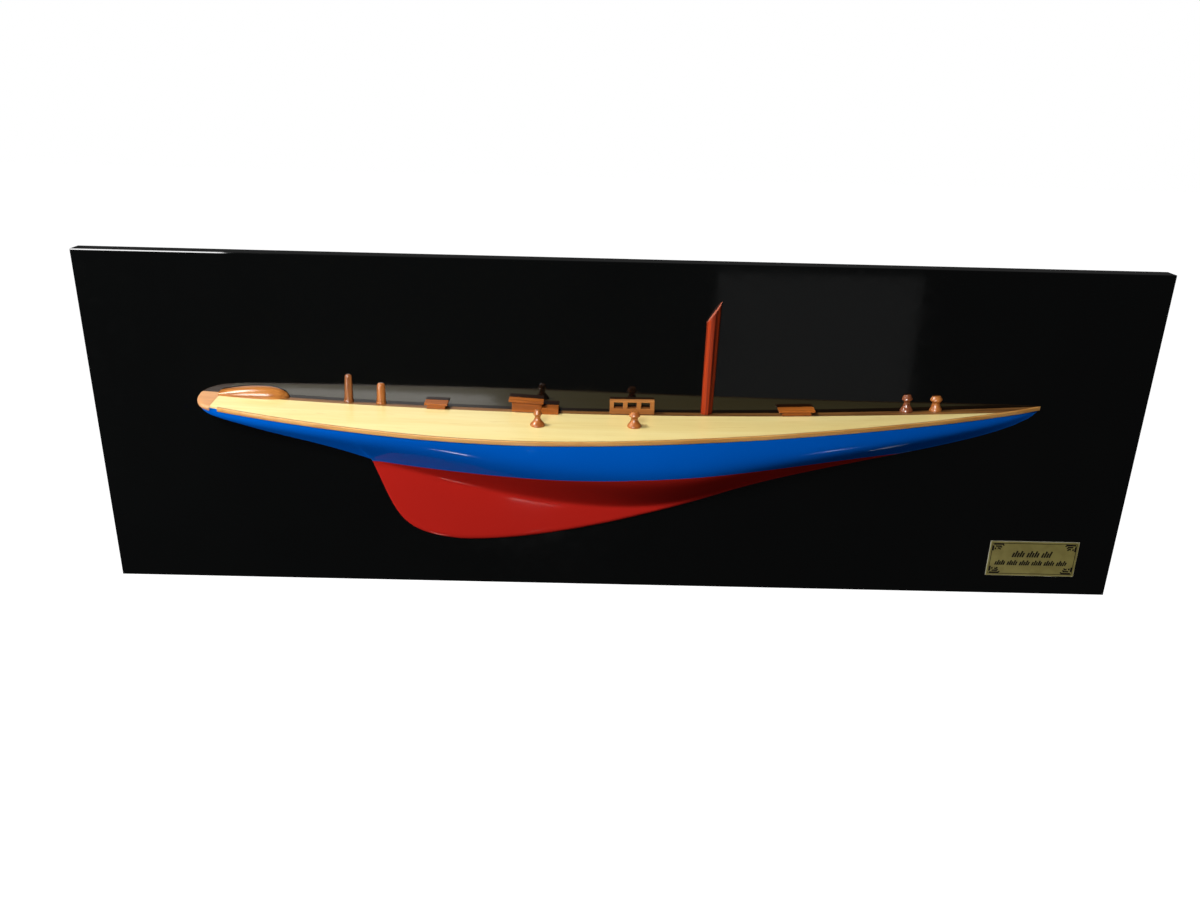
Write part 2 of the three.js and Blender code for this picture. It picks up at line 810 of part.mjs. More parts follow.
function skylight() {
  const half = skylightLength / 2;
  let block = solidOf(boxBetween([-half, -skylightOutward, -scribeDepth], [half, 0, skylightHeight]));
  for (let index = 0; index < lightCount; index += 1) {
    const middle = (index - (lightCount - 1) / 2) * lightPitch;
    const low = [middle - lightWidth / 2, -skylightOutward - overcut, lightSill];
    const high = [middle + lightWidth / 2, overcut, lightSill + lightHeight];
    block = block.subtract(solidOf(boxBetween(low, high)));
  }
  return onDeck('skylight', geometryOf(block), houseWood, { station: skylightStation });
}

function mastStub() {
  const reach = mastTip[0] - mastLip[0] + overcut;
  const rise = (mastTip[1] - mastLip[1]) / (mastTip[0] - mastLip[0]);
  const cutAt = (x) => mastLip[1] + rise * (x - mastLip[0]);
  const tall = mastTip[1] + overcut;
  const length = tall + scribeDepth;
  const pole = new THREE.CylinderGeometry(mastTopWidth / 2, mastFootWidth / 2, length, turnSegments);
  pole.rotateX(Math.PI / 2).scale(1, 2 * mastDepth / mastFootWidth, 1);
  pole.translate(0, 0, (tall - scribeDepth) / 2).rotateY(mastRake);
  const keep = [
    [-reach, -2 * scribeDepth],
    [reach, -2 * scribeDepth],
    [reach, cutAt(reach)],
    [-reach, cutAt(-reach)],
  ];
  const ringAt = (y) => keep.map(([x, z]) => [x, y, z]);
  const below = skin([ringAt(-2 * mastDepth), ringAt(0)]);
  const geometry = geometryOf(solidOf(pole).intersect(solidOf(below)));
  return onDeck('mast_stub', geometry, mastWood, { station: mastStation, upright: true });
}

const halfModel = new THREE.Group();
halfModel.add(
  backboard(),
  nameplate(),
  hull(),
  sternCap(),
  deck(),
  kingPlank(),
  rubRail(),
  dinghy(),
  post('tall_post', tallPost),
  post('short_post', shortPost),
  ...hatch('aft_hatch', aftHatch),
  ...companionway(),
  skylight(),
  mastStub(),
  ...hatch('fore_hatch', foreHatch),
  capstan('capstan_aft', aftCapstan),
  capstan('capstan_fore', foreCapstan),
  bitt('bitt_aft', aftBitt),
  bitt('bitt_fore', foreBitt),
);

export default halfModel;
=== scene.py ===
"""Looks of a half hull model of a long-ended racing sloop, mounted on a lacquered backboard.

Sizes of the model are in millimetres, as a model maker gives them, and become Blender's metres where
vertices are made. A point of the model is given by its station along X, its outward distance from the
front of the backboard and its height above the middle of the board. The stern points to -X.
"""

from __future__ import annotations

import logging
import math
from abc import ABC, abstractmethod
from dataclasses import dataclass, field
from enum import Enum
from functools import lru_cache
from typing import Any, Callable, Sequence

import bmesh
import bpy
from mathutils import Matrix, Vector

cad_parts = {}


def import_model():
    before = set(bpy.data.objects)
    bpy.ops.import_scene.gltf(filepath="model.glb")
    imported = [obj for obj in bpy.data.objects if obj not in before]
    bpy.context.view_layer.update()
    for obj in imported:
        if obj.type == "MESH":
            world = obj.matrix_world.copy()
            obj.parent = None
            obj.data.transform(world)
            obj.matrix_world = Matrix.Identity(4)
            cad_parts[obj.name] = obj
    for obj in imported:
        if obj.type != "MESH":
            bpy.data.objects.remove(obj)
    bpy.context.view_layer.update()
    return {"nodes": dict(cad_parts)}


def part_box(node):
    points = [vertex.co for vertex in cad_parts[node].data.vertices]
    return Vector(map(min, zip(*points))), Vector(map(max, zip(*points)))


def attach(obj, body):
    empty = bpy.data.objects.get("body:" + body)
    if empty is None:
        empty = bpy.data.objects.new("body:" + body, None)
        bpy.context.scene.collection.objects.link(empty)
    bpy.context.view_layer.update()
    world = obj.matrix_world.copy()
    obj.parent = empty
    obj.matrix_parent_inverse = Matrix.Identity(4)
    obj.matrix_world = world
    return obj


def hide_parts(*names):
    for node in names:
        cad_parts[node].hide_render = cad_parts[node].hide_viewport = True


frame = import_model()

log = logging.getLogger("half_hull")

MM = 0.001
BOARD_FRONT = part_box("backboard")[0][1]
SEAM = 0.12
SEARCH_ROUNDS = 34
QUARTER_TURN = math.pi / 2
SCRIBED = -1.0
WHITE = (1.0, 1.0, 1.0, 1.0)

Pair = tuple[float, float]
Triple = tuple[float, float, float]
Screen = tuple[int, int, int]
Ring = list[Vector]
Edge = Callable[[float], float]


def lerp(start: float, end: float, share: float) -> float:
    """Value at a share of the way from start to end."""
    return start + (end - start) * share


def clamp(value: float, low: float = 0.0, high: float = 1.0) -> float:
    """Value kept between low and high."""
    return max(low, min(high, value))


def divided(start: float, end: float, count: int) -> list[float]:
    """Evenly spaced values from start to end, in a number of steps."""
    return [lerp(start, end, index / count) for index in range(count + 1)]


def eased(start: float, end: float, count: int) -> list[float]:
    """Values from start to end, closer together at both ends."""
    shares = divided(0, 1, count)
    return [lerp(start, end, (share + (1 - math.cos(math.pi * share)) / 2) / 2) for share in shares]


def halved(low: float, high: float, holds: Callable[[float], bool]) -> float:
    """Value where a test stops holding, found by halving the range again and again.

    Args:
        low: Lower end of the range, where the test holds.
        high: Upper end, where it doesn't.
        holds: The test.

    Returns:
        The last value found where the test holds.
    """
    for _ in range(SEARCH_ROUNDS):
        middle = (low + high) / 2
        if holds(middle):
            low = middle
        else:
            high = middle
    return low


def world(station: float, outward: float, height: float) -> Vector:
    """Blender point of a station, an outward distance and a height in millimetres."""
    return Vector((station * MM, BOARD_FRONT - outward * MM, height * MM))


@dataclass(frozen=True)
class Outline:
    """A smooth line of cubic pieces that run forward along the stations.

    Args:
        pieces: Four control points for each piece, each as (station, value).
    """

    pieces: tuple[tuple[Pair, Pair, Pair, Pair], ...]

    @staticmethod
    def point(piece: Sequence[Pair], share: float) -> Pair:
        """Point of a cubic piece at a share of its run.

        Args:
            piece: Four control points.
            share: Share of the run.

        Returns:
            The point, as (station, value).
        """
        near, far = 1 - share, share
        weights = (near**3, 3 * near**2 * far, 3 * near * far**2, far**3)
        return (
            sum(weight * control[0] for weight, control in zip(weights, piece)),
            sum(weight * control[1] for weight, control in zip(weights, piece)),
        )

    @lru_cache(maxsize=None)
    def at(self, station: float) -> float:
        """Value of the line at a station.

        Args:
            station: Station along the board, in millimetres.

        Returns:
            The value.
        """
        piece = next((item for item in self.pieces if station <= item[3][0]), self.pieces[-1])
        share = halved(0.0, 1.0, lambda middle: self.point(piece, middle)[0] < station)
        return self.point(piece, share)[1]


@dataclass(frozen=True)
class HullLines:
    """Lines of the hull and of its deck, in millimetres."""

    stern_tip: Pair = (-401.0, 0.0)
    stern_corner: Pair = (-381.0, 36.8)
    beam_peak: Pair = (-95.0, 77.9)
    bow_tip: Pair = (402.0, 1.2)
    stern_roundness: float = 24.0
    corner_roundness: float = 9.0
    quarter_flare: Pair = (79.5, 20.7)
    quarter_run: float = 98.0
    shoulder_run: float = 134.0
    bow_entry: Pair = (73.4, 29.0)
    sheer_stern: float = 33.7
    sheer_aft_pull: Pair = (-149.0, 18.4)
    sheer_fore_pull: Pair = (98.0, 16.3)
    sheer_bow: float = 37.2
    counter_end: Pair = (-397.3, 27.6)
    counter_tuck: Pair = (-397.0, -4.0)
    counter_run: Pair = (-321.0, -5.1)
    sternpost_head: Pair = (-242.3, -32.8)
    sternpost_pull: Pair = (-218.5, -91.4)
    heel_pull: Pair = (-220.2, -111.6)
    keel_lowest: Pair = (-155.0, -116.2)
    keel_run_pull: Pair = (-78.2, -116.2)
    forefoot_pull: Pair = (26.7, -87.2)
    forefoot: Pair = (101.0, -60.3)
    bow_run_pull: Pair = (207.2, -21.0)
    stem_pull: Pair = (386.9, -0.6)
    stem_head: float = 36.0
    garboard_aft_pull: Pair = (-182.0, -48.0)
    garboard_fore_pull: Pair = (-24.0, -103.5)
    garboard_end: Pair = (84.0, -66.3)
    floor_rise: float = 1.8
    quarter_hollow: float = 0.57
    quarter_hollow_station: float = -187.0
    quarter_hollow_spread: float = 169.0
    bilge_turn: float = 7.0
    garboard_fillet_aft: float = 1.8
    garboard_fillet_fore: float = 4.0
    heel_half: float = 2.2
    fin_aft_pull: Pair = (-150.0, 10.0)
    fin_fore_pull: Pair = (0.0, 8.0)
    stem_half: float = 1.0
    keel_rounding: float = 5.0
    deck_camber: float = 0.055
    deck_thickness: float = 1.6
    cap_thickness: float = 4.4
    rail_station: float = -373.0
    rail_thickness: float = 2.4
    rail_depth: float = 4.0
    rail_proud: float = 1.2
    rail_above_deck: float = 0.4
    plank_width: float = 8.3
    plank_flare: float = 4.2
    plank_flare_station: float = -210.0
    thinnest: float = 0.6

    @property
    def stern_round(self) -> tuple[Pair, Pair, Pair, Pair]:
        """Cubic piece of the plan round the stern, from the board to the corner.

        Returns:
            Four control points.
        """
        slope = self.quarter_flare[1] / self.quarter_flare[0]
        corner = self.stern_corner
        pull = (corner[0] - self.corner_roundness, corner[1] - self.corner_roundness * slope)
        return (self.stern_tip, (self.stern_tip[0], self.stern_roundness), pull, corner)

    @property
    def counter(self) -> tuple[Pair, Pair, Pair, Pair]:
        """Cubic piece of the profile under the counter."""
        return (self.counter_end, self.counter_tuck, self.counter_run, self.sternpost_head)

    @property
    def plan(self) -> Outline:
        """Deck edge in plan.

        Returns:
            Outline of outward distances.
        """
        corner, peak, bow = self.stern_corner, self.beam_peak, self.bow_tip
        flare = (corner[0] + self.quarter_flare[0], corner[1] + self.quarter_flare[1])
        quarter = (corner, flare, (peak[0] - self.quarter_run, peak[1]), peak)
        entry = (bow[0] - self.bow_entry[0], self.bow_entry[1])
        shoulder = (peak, (peak[0] + self.shoulder_run, peak[1]), entry, bow)
        return Outline((self.stern_round, quarter, shoulder))

    @property
    def sheer(self) -> Outline:
        """Height of the deck along the board.

        Returns:
            Outline of heights.
        """
        stern = (self.stern_tip[0], self.sheer_stern)
        bow = (self.bow_tip[0], self.sheer_bow)
        return Outline(((stern, self.sheer_aft_pull, self.sheer_fore_pull, bow),))

    @property
    def profile(self) -> Outline:
        """Lower edge of the hull against the board.

        Returns:
            Outline of heights.
        """
        stem = (self.bow_tip[0], self.stem_head)
        heel = (self.sternpost_head, self.sternpost_pull, self.heel_pull, self.keel_lowest)
        keel = (self.keel_lowest, self.keel_run_pull, self.forefoot_pull, self.forefoot)
        bow = (self.forefoot, self.bow_run_pull, self.stem_pull, stem)
        return Outline((self.counter, heel, keel, bow))

    @property
    def canoe_bottom(self) -> Outline:
        """Bottom of the canoe body above the fin."""
        garboard = (self.sternpost_head, self.garboard_aft_pull, self.garboard_fore_pull, self.garboard_end)
        return Outline((self.counter, garboard))

    @property
    def fin_plan(self) -> Outline:
        """Half thickness of the fin and the stem in plan.

        Returns:
            Outline of half thicknesses.
        """
        heel = (self.sternpost_head[0], self.heel_half)
        stem = (self.bow_tip[0], self.stem_half)
        return Outline(((heel, self.fin_aft_pull, self.fin_fore_pull, stem),))

    @lru_cache(maxsize=None)
    def edge(self, station: float) -> float:
        """Outward distance of the rail's outer face at a station."""
        return self.plan.at(station)

    @lru_cache(maxsize=None)
    def sheer_height(self, station: float) -> float:
        """Height of the deck at the board."""
        return self.sheer.at(station)

    def deck(self, station: float, outward: float) -> float:
        """Height of the cambered deck."""
        edge = self.edge(station)
        return self.sheer_height(station) - self.deck_camber * edge * clamp(outward / edge) ** 2

    def slope(self, station: float, outward: float) -> float:
        """Rise of the deck for each millimetre forward."""
        return self.deck(station + 1, outward) - self.deck(station, outward)

    @lru_cache(maxsize=None)
    def keel(self, station: float) -> float:
        """Height of the hull's lower edge at a station."""
        return self.profile.at(station)

    @lru_cache(maxsize=None)
    def floor(self, station: float) -> float:
        """Height where the canoe body's floor starts at a station."""
        keel = self.keel(station)
        return max(self.canoe_bottom.at(station), keel) if station < self.garboard_end[0] else keel

    def side(self, station: float) -> float:
        """Outward distance of the planking under the rail."""
        return max(self.edge(station) - self.rail_proud, self.thinnest)

    def rail_inner(self, station: float) -> float:
        """Outward distance of the rail's inner face."""
        return max(self.edge(station) - self.rail_thickness, self.thinnest / 2)

    @lru_cache(maxsize=None)
    def fin_half(self, station: float) -> float:
        """Half thickness of the fin or the stem at a station.

        Args:
            station: Station along the board, in millimetres.

        Returns:
            The half thickness, nought aft of the sternpost.
        """
        if station < self.sternpost_head[0]:
            return 0.0
        return min(self.fin_plan.at(station), self.side(station) / 2)

    def turn_off(self, value: float) -> float:
        """Rounds a rising value off against one, which turns the floor into the topside."""
        return (value**-self.bilge_turn + 1) ** (-1 / self.bilge_turn) if value > 0 else 0.0

    def fillet(self, station: float) -> float:
        """How tight the fillet between canoe body and fin is, tighter towards the bow."""
        run = clamp((station - self.sternpost_head[0]) / (self.garboard_end[0] - self.sternpost_head[0]))
        return lerp(self.garboard_fillet_aft, self.garboard_fillet_fore, run)

    def breadth(self, station: float, height: float) -> float:
        """Outward distance of the hull's surface: canoe body and fin, filleted together.

        Args:
            station: Station along the board, in millimetres.
            height: Height above the middle of the board.

        Returns:
            The distance.
        """
        side = self.side(station)
        top = self.deck(station, side)
        keel = self.keel(station)
        floor = self.floor(station)
        share = clamp((height - floor) / (top - floor))
        off_peak = (station - self.quarter_hollow_station) / self.quarter_hollow_spread
        rise = self.floor_rise - self.quarter_hollow * math.exp(-(off_peak**2))
        canoe = side * self.turn_off(rise * share) / self.turn_off(rise)
        above = clamp((height - keel) / min(self.keel_rounding, top - keel))
        fin = self.fin_half(station) * math.sqrt(1 - (1 - above) ** 2) * (1 - share)
        fillet = self.fillet(station)
        return max((canoe**fillet + fin**fillet) ** (1 / fillet), self.thinnest / 2)

    def plank_edge(self, station: float) -> float:
        """Outward distance of the king plank's outer edge."""
        run = max(station - self.plank_flare_station, 0) / (self.bow_tip[0] - self.plank_flare_station)
        return min(self.plank_width + self.plank_flare * run**2, self.rail_inner(station) - SEAM)

    def narrows_to(self, breadth: Callable[[float], float], limit: float) -> float:
        """Station forward of the widest beam where a narrowing breadth falls to a limit."""
        return halved(self.beam_peak[0], self.bow_tip[0], lambda station: breadth(station) > limit)


LINES = HullLines()


def stations(start: float, end: float, spacing: float) -> list[float]:
    """Evenly spaced stations, no further apart than the spacing."""
    return divided(start, end, max(1, math.ceil((end - start) / spacing)))


@dataclass
class MeshPlan:
    """Vertices and faces that a piece's mesh is made from."""

    points: list[Vector] = field(default_factory=list)
    faces: list[tuple[int, ...]] = field(default_factory=list)

    def skin(self, rings: Sequence[Ring], closed: bool = True, caps: bool = True) -> MeshPlan:
        """Adds a skin over rings that have the same number of points.

        Args:
            rings: Rings of points, in order.
            closed: Whether the last point of a ring joins its first.
            caps: Whether the first and the last ring are filled by a fan about their middle.

        Returns:
            The plan itself.
        """
        start = len(self.points)
        size = len(rings[0])
        self.points.extend(point for ring in rings for point in ring)
        span = size if closed else size - 1
        for row in range(len(rings) - 1):
            for column in range(span):
                here = start + row * size + column
                beside = start + row * size + (column + 1) % size
                self.faces.append((here, beside, beside + size, here + size))
        if caps:
            for row in (0, len(rings) - 1):
                first = start + row * size
                self.fan(sum(rings[row], Vector()) / size, range(first, first + size))
        return self

    def fan(self, point: Vector, ring: Sequence[int], closed: bool = True) -> int:
        """Adds a fan of triangles from a new point to a ring.

        Args:
            point: The new point.
            ring: Numbers of the ring's points.
            closed: Whether the last point of the ring joins its first.

        Returns:
            Number of the new point.
        """
        middle = len(self.points)
        self.points.append(point)
        size = len(ring)
        span = size if closed else size - 1
        self.faces.extend((middle, ring[index], ring[(index + 1) % size]) for index in range(span))
        return middle

    def block(self, low: Vector, high: Vector) -> MeshPlan:
        """Adds a box between two opposite corners."""
        ring = [(low.x, low.y), (high.x, low.y), (high.x, high.y), (low.x, high.y)]
        return self.skin([[Vector((x, y, z)) for x, y in ring] for z in (low.z, high.z)])


class Grain(Enum):
    """Direction that the grain of a wooden piece runs in, as the mapping's scale for X, Y and Z."""

    ALONG_HULL = (14.0, 330.0, 420.0)
    ALONG_DECK = (9.0, 190.0, 420.0)
    UPRIGHT = (420.0, 420.0, 22.0)
    MAST = (640.0, 640.0, 6.0)


class Noise(Enum):
    """Noises that the finishes are made of, as scale, detail and distortion."""

    WOOD_BANDS = (0.34, 2.0, 0.5)
    WOOD_STREAKS = (1.3, 5.0, 0.25)
    WOOD_PORES = (2.7, 3.0, 0.0)
    CLOUDS = (9.0, 3.0, 0.4)
    WIPES = (55.0, 4.0, 0.8)
    ORANGE_PEEL = (420.0, 2.0, 0.0)
    WATERLINE_WANDER = (60.0, 2.0, 0.0)
    TARNISH = (90.0, 4.0, 0.5)
    BRUSHING = (1.0, 2.0, 0.0)


class Sheet:
    """Short calls for laying out a shader node tree."""

    def __init__(self, tree: bpy.types.NodeTree) -> None:
        """Keeps the tree that nodes are added to."""
        self.tree = tree

    def feed(self, node: bpy.types.Node, inputs: dict[Any, Any]) -> None:
        """Sets a node's inputs, named or numbered, to values, or links them to sockets.

        Args:
            node: The node.
            inputs: Values or sockets, by name or by number.
        """
        for key, value in inputs.items():
            if isinstance(value, bpy.types.NodeSocket):
                self.tree.links.new(value, node.inputs[key])
            else:
                node.inputs[key].default_value = value

    def add(self, kind: str, inputs: dict[Any, Any] | None = None, **settings: Any) -> bpy.types.Node:
        """Adds a node.

        Args:
            kind: Blender's node type.
            inputs: Values or sockets for the node's inputs, by name or by number.
            settings: Attributes of the node itself.

        Returns:
            The new node.
        """
        node = self.tree.nodes.new(kind)
        for name, value in settings.items():
            setattr(node, name, value)
        self.feed(node, inputs or {})
        return node

    def math(self, operation: str, *values: Any, clamped: bool = False) -> bpy.types.NodeSocket:
        """Output of a math node on values or sockets."""
        inputs = dict(enumerate(values))
        return self.add("ShaderNodeMath", inputs, operation=operation, use_clamp=clamped).outputs[0]

    def times(self, first: Any, second: Any) -> bpy.types.NodeSocket:
        """Product of two values or sockets."""
        return self.math("MULTIPLY", first, second)

    def centred(self, value: Any) -> bpy.types.NodeSocket:
        """Noise value moved from about a half to about nought."""
        return self.math("SUBTRACT", value, 0.5)

    def blend(self, share: Any, first: Any, second: Any) -> bpy.types.NodeSocket:
        """Colour output of a mix node."""
        return self.add("ShaderNodeMix", {0: share, 6: first, 7: second}, data_type="RGBA").outputs[2]

    def spread(self, value: Any, low: float, high: float) -> bpy.types.NodeSocket:
        """Value between low and high, spread over nought to one."""
        inputs = {0: value, 1: low, 2: high, 3: 0.0, 4: 1.0}
        return self.add("ShaderNodeMapRange", inputs, interpolation_type="SMOOTHSTEP").outputs[0]

    def noise(self, vector: Any, noise: Noise) -> bpy.types.NodeSocket:
        """Noise value at a point.

        Args:
            vector: The point.
            noise: Kind of noise.

        Returns:
            Socket of the value.
        """
        scale, detail, distortion = noise.value
        inputs = {"Vector": vector, "Scale": scale, "Detail": detail, "Distortion": distortion}
        return self.add("ShaderNodeTexNoise", inputs).outputs[0]

    def place(self) -> bpy.types.NodeSocket:
        """Place on the object, in metres."""
        return self.add("ShaderNodeTexCoord").outputs["Object"]

    def facing(self, axis: int) -> bpy.types.NodeSocket:
        """Part of the surface's normal along an axis, numbered from nought."""
        normal = self.add("ShaderNodeNewGeometry").outputs["Normal"]
        return self.add("ShaderNodeSeparateXYZ", {0: normal}).outputs[axis]

    def bump(self, height: Any, distance: float, strength: float) -> bpy.types.NodeSocket:
        """Normal of a bump whose height is a socket and whose distance is in millimetres."""
        inputs = {"Height": height, "Distance": distance * MM, "Strength": strength}
        return self.add("ShaderNodeBump", inputs).outputs[0]


def shade(screen: Screen) -> tuple[float, float, float, float]:
    """Linear colour with full opacity of a screen colour given as 0 to 255.

    Args:
        screen: Red, green and blue.

    Returns:
        Red, green, blue and one, for Blender.
    """

    def linear(value: int) -> float:
        """Linear share of one channel."""
        share = value / 255
        return share / 12.92 if share <= 0.04045 else ((share + 0.055) / 1.055) ** 2.4

    return (*(linear(value) for value in screen), 1.0)


Group = tuple[bpy.types.NodeTree, Sheet, bpy.types.Node, bpy.types.Node]


class Effects:
    """Shader node groups for effects that more than one finish uses, built once each."""

    band_share: float = 0.62
    streak_share: float = 0.38
    streak_relief: float = 0.4
    tone_range: Pair = (0.36, 0.64)
    pore_range: Pair = (0.6, 0.74)
    wipe_reach: float = 0.12

    def __init__(self) -> None:
        """Builds the groups."""
        self.materials: dict[str, bpy.types.Material] = {}
        self.figure = self.wood_figure()
        self.film = self.brushed_film()

    @staticmethod
    def group(name: str, inputs: dict[str, str], outputs: dict[str, str]) -> Group:
        """Empty group with named sockets.

        Args:
            name: Name of the group.
            inputs: Socket type of each input, by name.
            outputs: Socket type of each output, by name.

        Returns:
            The group, its sheet, its input node and its output node.
        """
        tree = bpy.data.node_groups.new(name, "ShaderNodeTree")
        for way, sockets in (("INPUT", inputs), ("OUTPUT", outputs)):
            for label, kind in sockets.items():
                tree.interface.new_socket(name=label, in_out=way, socket_type=f"NodeSocket{kind}")
        sheet = Sheet(tree)
        return tree, sheet, sheet.add("NodeGroupInput"), sheet.add("NodeGroupOutput")

    def wood_figure(self) -> bpy.types.NodeTree:
        """Grain of wood: broad bands, fine streaks and dark pores along the stretched direction.

        Returns:
            The group.
        """
        tree, sheet, given, result = self.group(
            "wood_figure",
            {"Vector": "Vector", "Light": "Color", "Dark": "Color", "Pore": "Color", "Pore Share": "Float"},
            {"Color": "Color", "Height": "Float"},
        )
        vector = given.outputs["Vector"]
        bands = sheet.noise(vector, Noise.WOOD_BANDS)
        streaks = sheet.noise(vector, Noise.WOOD_STREAKS)
        broad, fine = sheet.times(bands, self.band_share), sheet.times(streaks, self.streak_share)
        tone = sheet.spread(sheet.math("ADD", broad, fine), *self.tone_range)
        pores = sheet.spread(sheet.noise(vector, Noise.WOOD_PORES), *self.pore_range)
        wood = sheet.blend(tone, given.outputs["Light"], given.outputs["Dark"])
        share = sheet.times(pores, given.outputs["Pore Share"])
        height = sheet.math("SUBTRACT", sheet.times(streaks, self.streak_relief), share)
        sheet.feed(result, {"Color": sheet.blend(share, wood, given.outputs["Pore"]), "Height": height})
        return tree

    def brushed_film(self) -> bpy.types.NodeTree:
        """Hand-laid film of paint or lacquer: cloudy colour, uneven gloss and a faint orange peel.

        Returns:
            The group.
        """
        tree, sheet, given, result = self.group(
            "brushed_film",
            {"Vector": "Vector", "Color": "Color", "Clouding": "Float", "Roughness": "Float"},
            {"Color": "Color", "Roughness": "Float", "Height": "Float"},
        )
        vector = given.outputs["Vector"]
        clouds = sheet.centred(sheet.noise(vector, Noise.CLOUDS))
        wipes = sheet.centred(sheet.noise(vector, Noise.WIPES))
        value = sheet.math("ADD", 1.0, sheet.times(clouds, given.outputs["Clouding"]))
        colour = sheet.add("ShaderNodeHueSaturation", {"Value": value, "Color": given.outputs["Color"]})
        uneven = sheet.times(wipes, self.wipe_reach)
        rough = sheet.math("ADD", given.outputs["Roughness"], uneven, clamped=True)
        peel = sheet.noise(vector, Noise.ORANGE_PEEL)
        sheet.feed(result, {"Color": colour.outputs[0], "Roughness": rough, "Height": peel})
        return tree


class Finish(ABC):
    """A finish that makes one material when it is first asked for."""

    name: str
    slot: str

    @abstractmethod
    def paint(self, sheet: Sheet, shader: bpy.types.Node, effects: Effects) -> None:
        """Lays the finish's nodes out and links them to the shader."""

    def material(self, effects: Effects) -> bpy.types.Material:
        """The finish's material, made once.

        Args:
            effects: The node groups and the materials made so far.

        Returns:
            The material.
        """
        if self.name in effects.materials:
            return effects.materials[self.name]
        made = bpy.data.materials.new(f"{self.name}_finish")
        effects.materials[self.name] = made
        made.use_nodes = True
        made.node_tree.nodes.clear()
        sheet = Sheet(made.node_tree)
        shader = sheet.add("ShaderNodeBsdfPrincipled")
        sheet.add("ShaderNodeOutputMaterial", {"Surface": shader.outputs[0]})
        self.paint(sheet, shader, effects)
        return made

    @staticmethod
    def film(sheet: Sheet, effects: Effects, colour: Any, clouding: float, roughness: float) -> Any:
        """Outputs of the brushed film over a colour.

        Args:
            sheet: Sheet of the material.
            effects: The node groups.
            colour: Colour under the film, as a value or a socket.
            clouding: How cloudy the colour is.
            roughness: Roughness of the film.

        Returns:
            The film's Color, Roughness and Height, by name.
        """
        inputs = {"Vector": sheet.place(), "Color": colour, "Clouding": clouding, "Roughness": roughness}
        return sheet.add("ShaderNodeGroup", inputs, node_tree=effects.film).outputs


@dataclass(frozen=True)
class Wood(Finish):
    """Varnished wood with its grain, its two tones and its pores, and painted shade on faces that look up
    where it is asked for.
    """

    name: str
    slot: str
    light: Screen
    dark: Screen
    pore: Screen
    grain: Grain
    pore_share: float = 0.35
    roughness: float = 0.38
    specular: float = 0.5
    coat: float = 0.35
    coat_roughness: float = 0.16
    relief: float = 0.12
    relief_strength: float = 0.35
    # Painted shade: share by which faces that look up are darkened towards the pore colour, and the upward
    # facing over which it comes in.
    painted_top_shade: float = 0.0
    painted_top_range: Pair = (0.7, 0.95)
    shift: Triple = (0.0, 0.0, 0.0)

    def paint(self, sheet: Sheet, shader: bpy.types.Node, effects: Effects) -> None:
        """Stretches the figure along the grain and lays varnish over it.

        Args:
            sheet: Sheet of the material.
            shader: The material's Principled BSDF.
            effects: The node groups and the materials made so far.
        """
        mapping = {"Vector": sheet.place(), "Scale": self.grain.value, "Location": self.shift}
        inputs = {
            "Vector": sheet.add("ShaderNodeMapping", mapping).outputs[0],
            "Light": shade(self.light),
            "Dark": shade(self.dark),
            "Pore": shade(self.pore),
            "Pore Share": self.pore_share,
        }
        figure = sheet.add("ShaderNodeGroup", inputs, node_tree=effects.figure).outputs
        colour = figure["Color"]
        # Painted shade: faces that look up are darkened towards the pore colour.
        if self.painted_top_shade:
            share = sheet.times(sheet.spread(sheet.facing(2), *self.painted_top_range), self.painted_top_shade)
            colour = sheet.blend(share, colour, shade(self.pore))
        varnish = {
            "Base Color": colour,
            "Roughness": self.roughness,
            "Specular IOR Level": self.specular,
            "Coat Weight": self.coat,
            "Coat Roughness": self.coat_roughness,
            "Normal": sheet.bump(figure["Height"], self.relief, self.relief_strength),
        }
        sheet.feed(shader, varnish)


@dataclass(frozen=True)
class Lacquer(Finish):
    """Deep gloss lacquer, with a duller back."""

    name: str = "board_lacquer"
    slot: str = "board_lacquer"
    colour: Screen = (6, 7, 7)
    clouding: float = 0.5
    roughness: float = 0.06
    back_roughness: float = 0.5
    back_range: Pair = (0.5, 0.9)
    specular: float = 0.5
    peel: float = 0.004
    peel_strength: float = 0.2

    def paint(self, sheet: Sheet, shader: bpy.types.Node, effects: Effects) -> None:
        """Mixes the polished front and edges with the dull back by the way a face looks.

        Args:
            sheet: Sheet of the material.
            shader: The material's Principled BSDF.
            effects: The node groups and the materials made so far.
        """
        film = self.film(sheet, effects, shade(self.colour), self.clouding, self.roughness)
        back = sheet.times(sheet.spread(sheet.facing(1), *self.back_range), self.back_roughness)
        gloss = {
            "Base Color": film["Color"],
            "Roughness": sheet.math("MAXIMUM", film["Roughness"], back),
            "Specular IOR Level": self.specular,
            "Normal": sheet.bump(film["Height"], self.peel, self.peel_strength),
        }
        sheet.feed(shader, gloss)


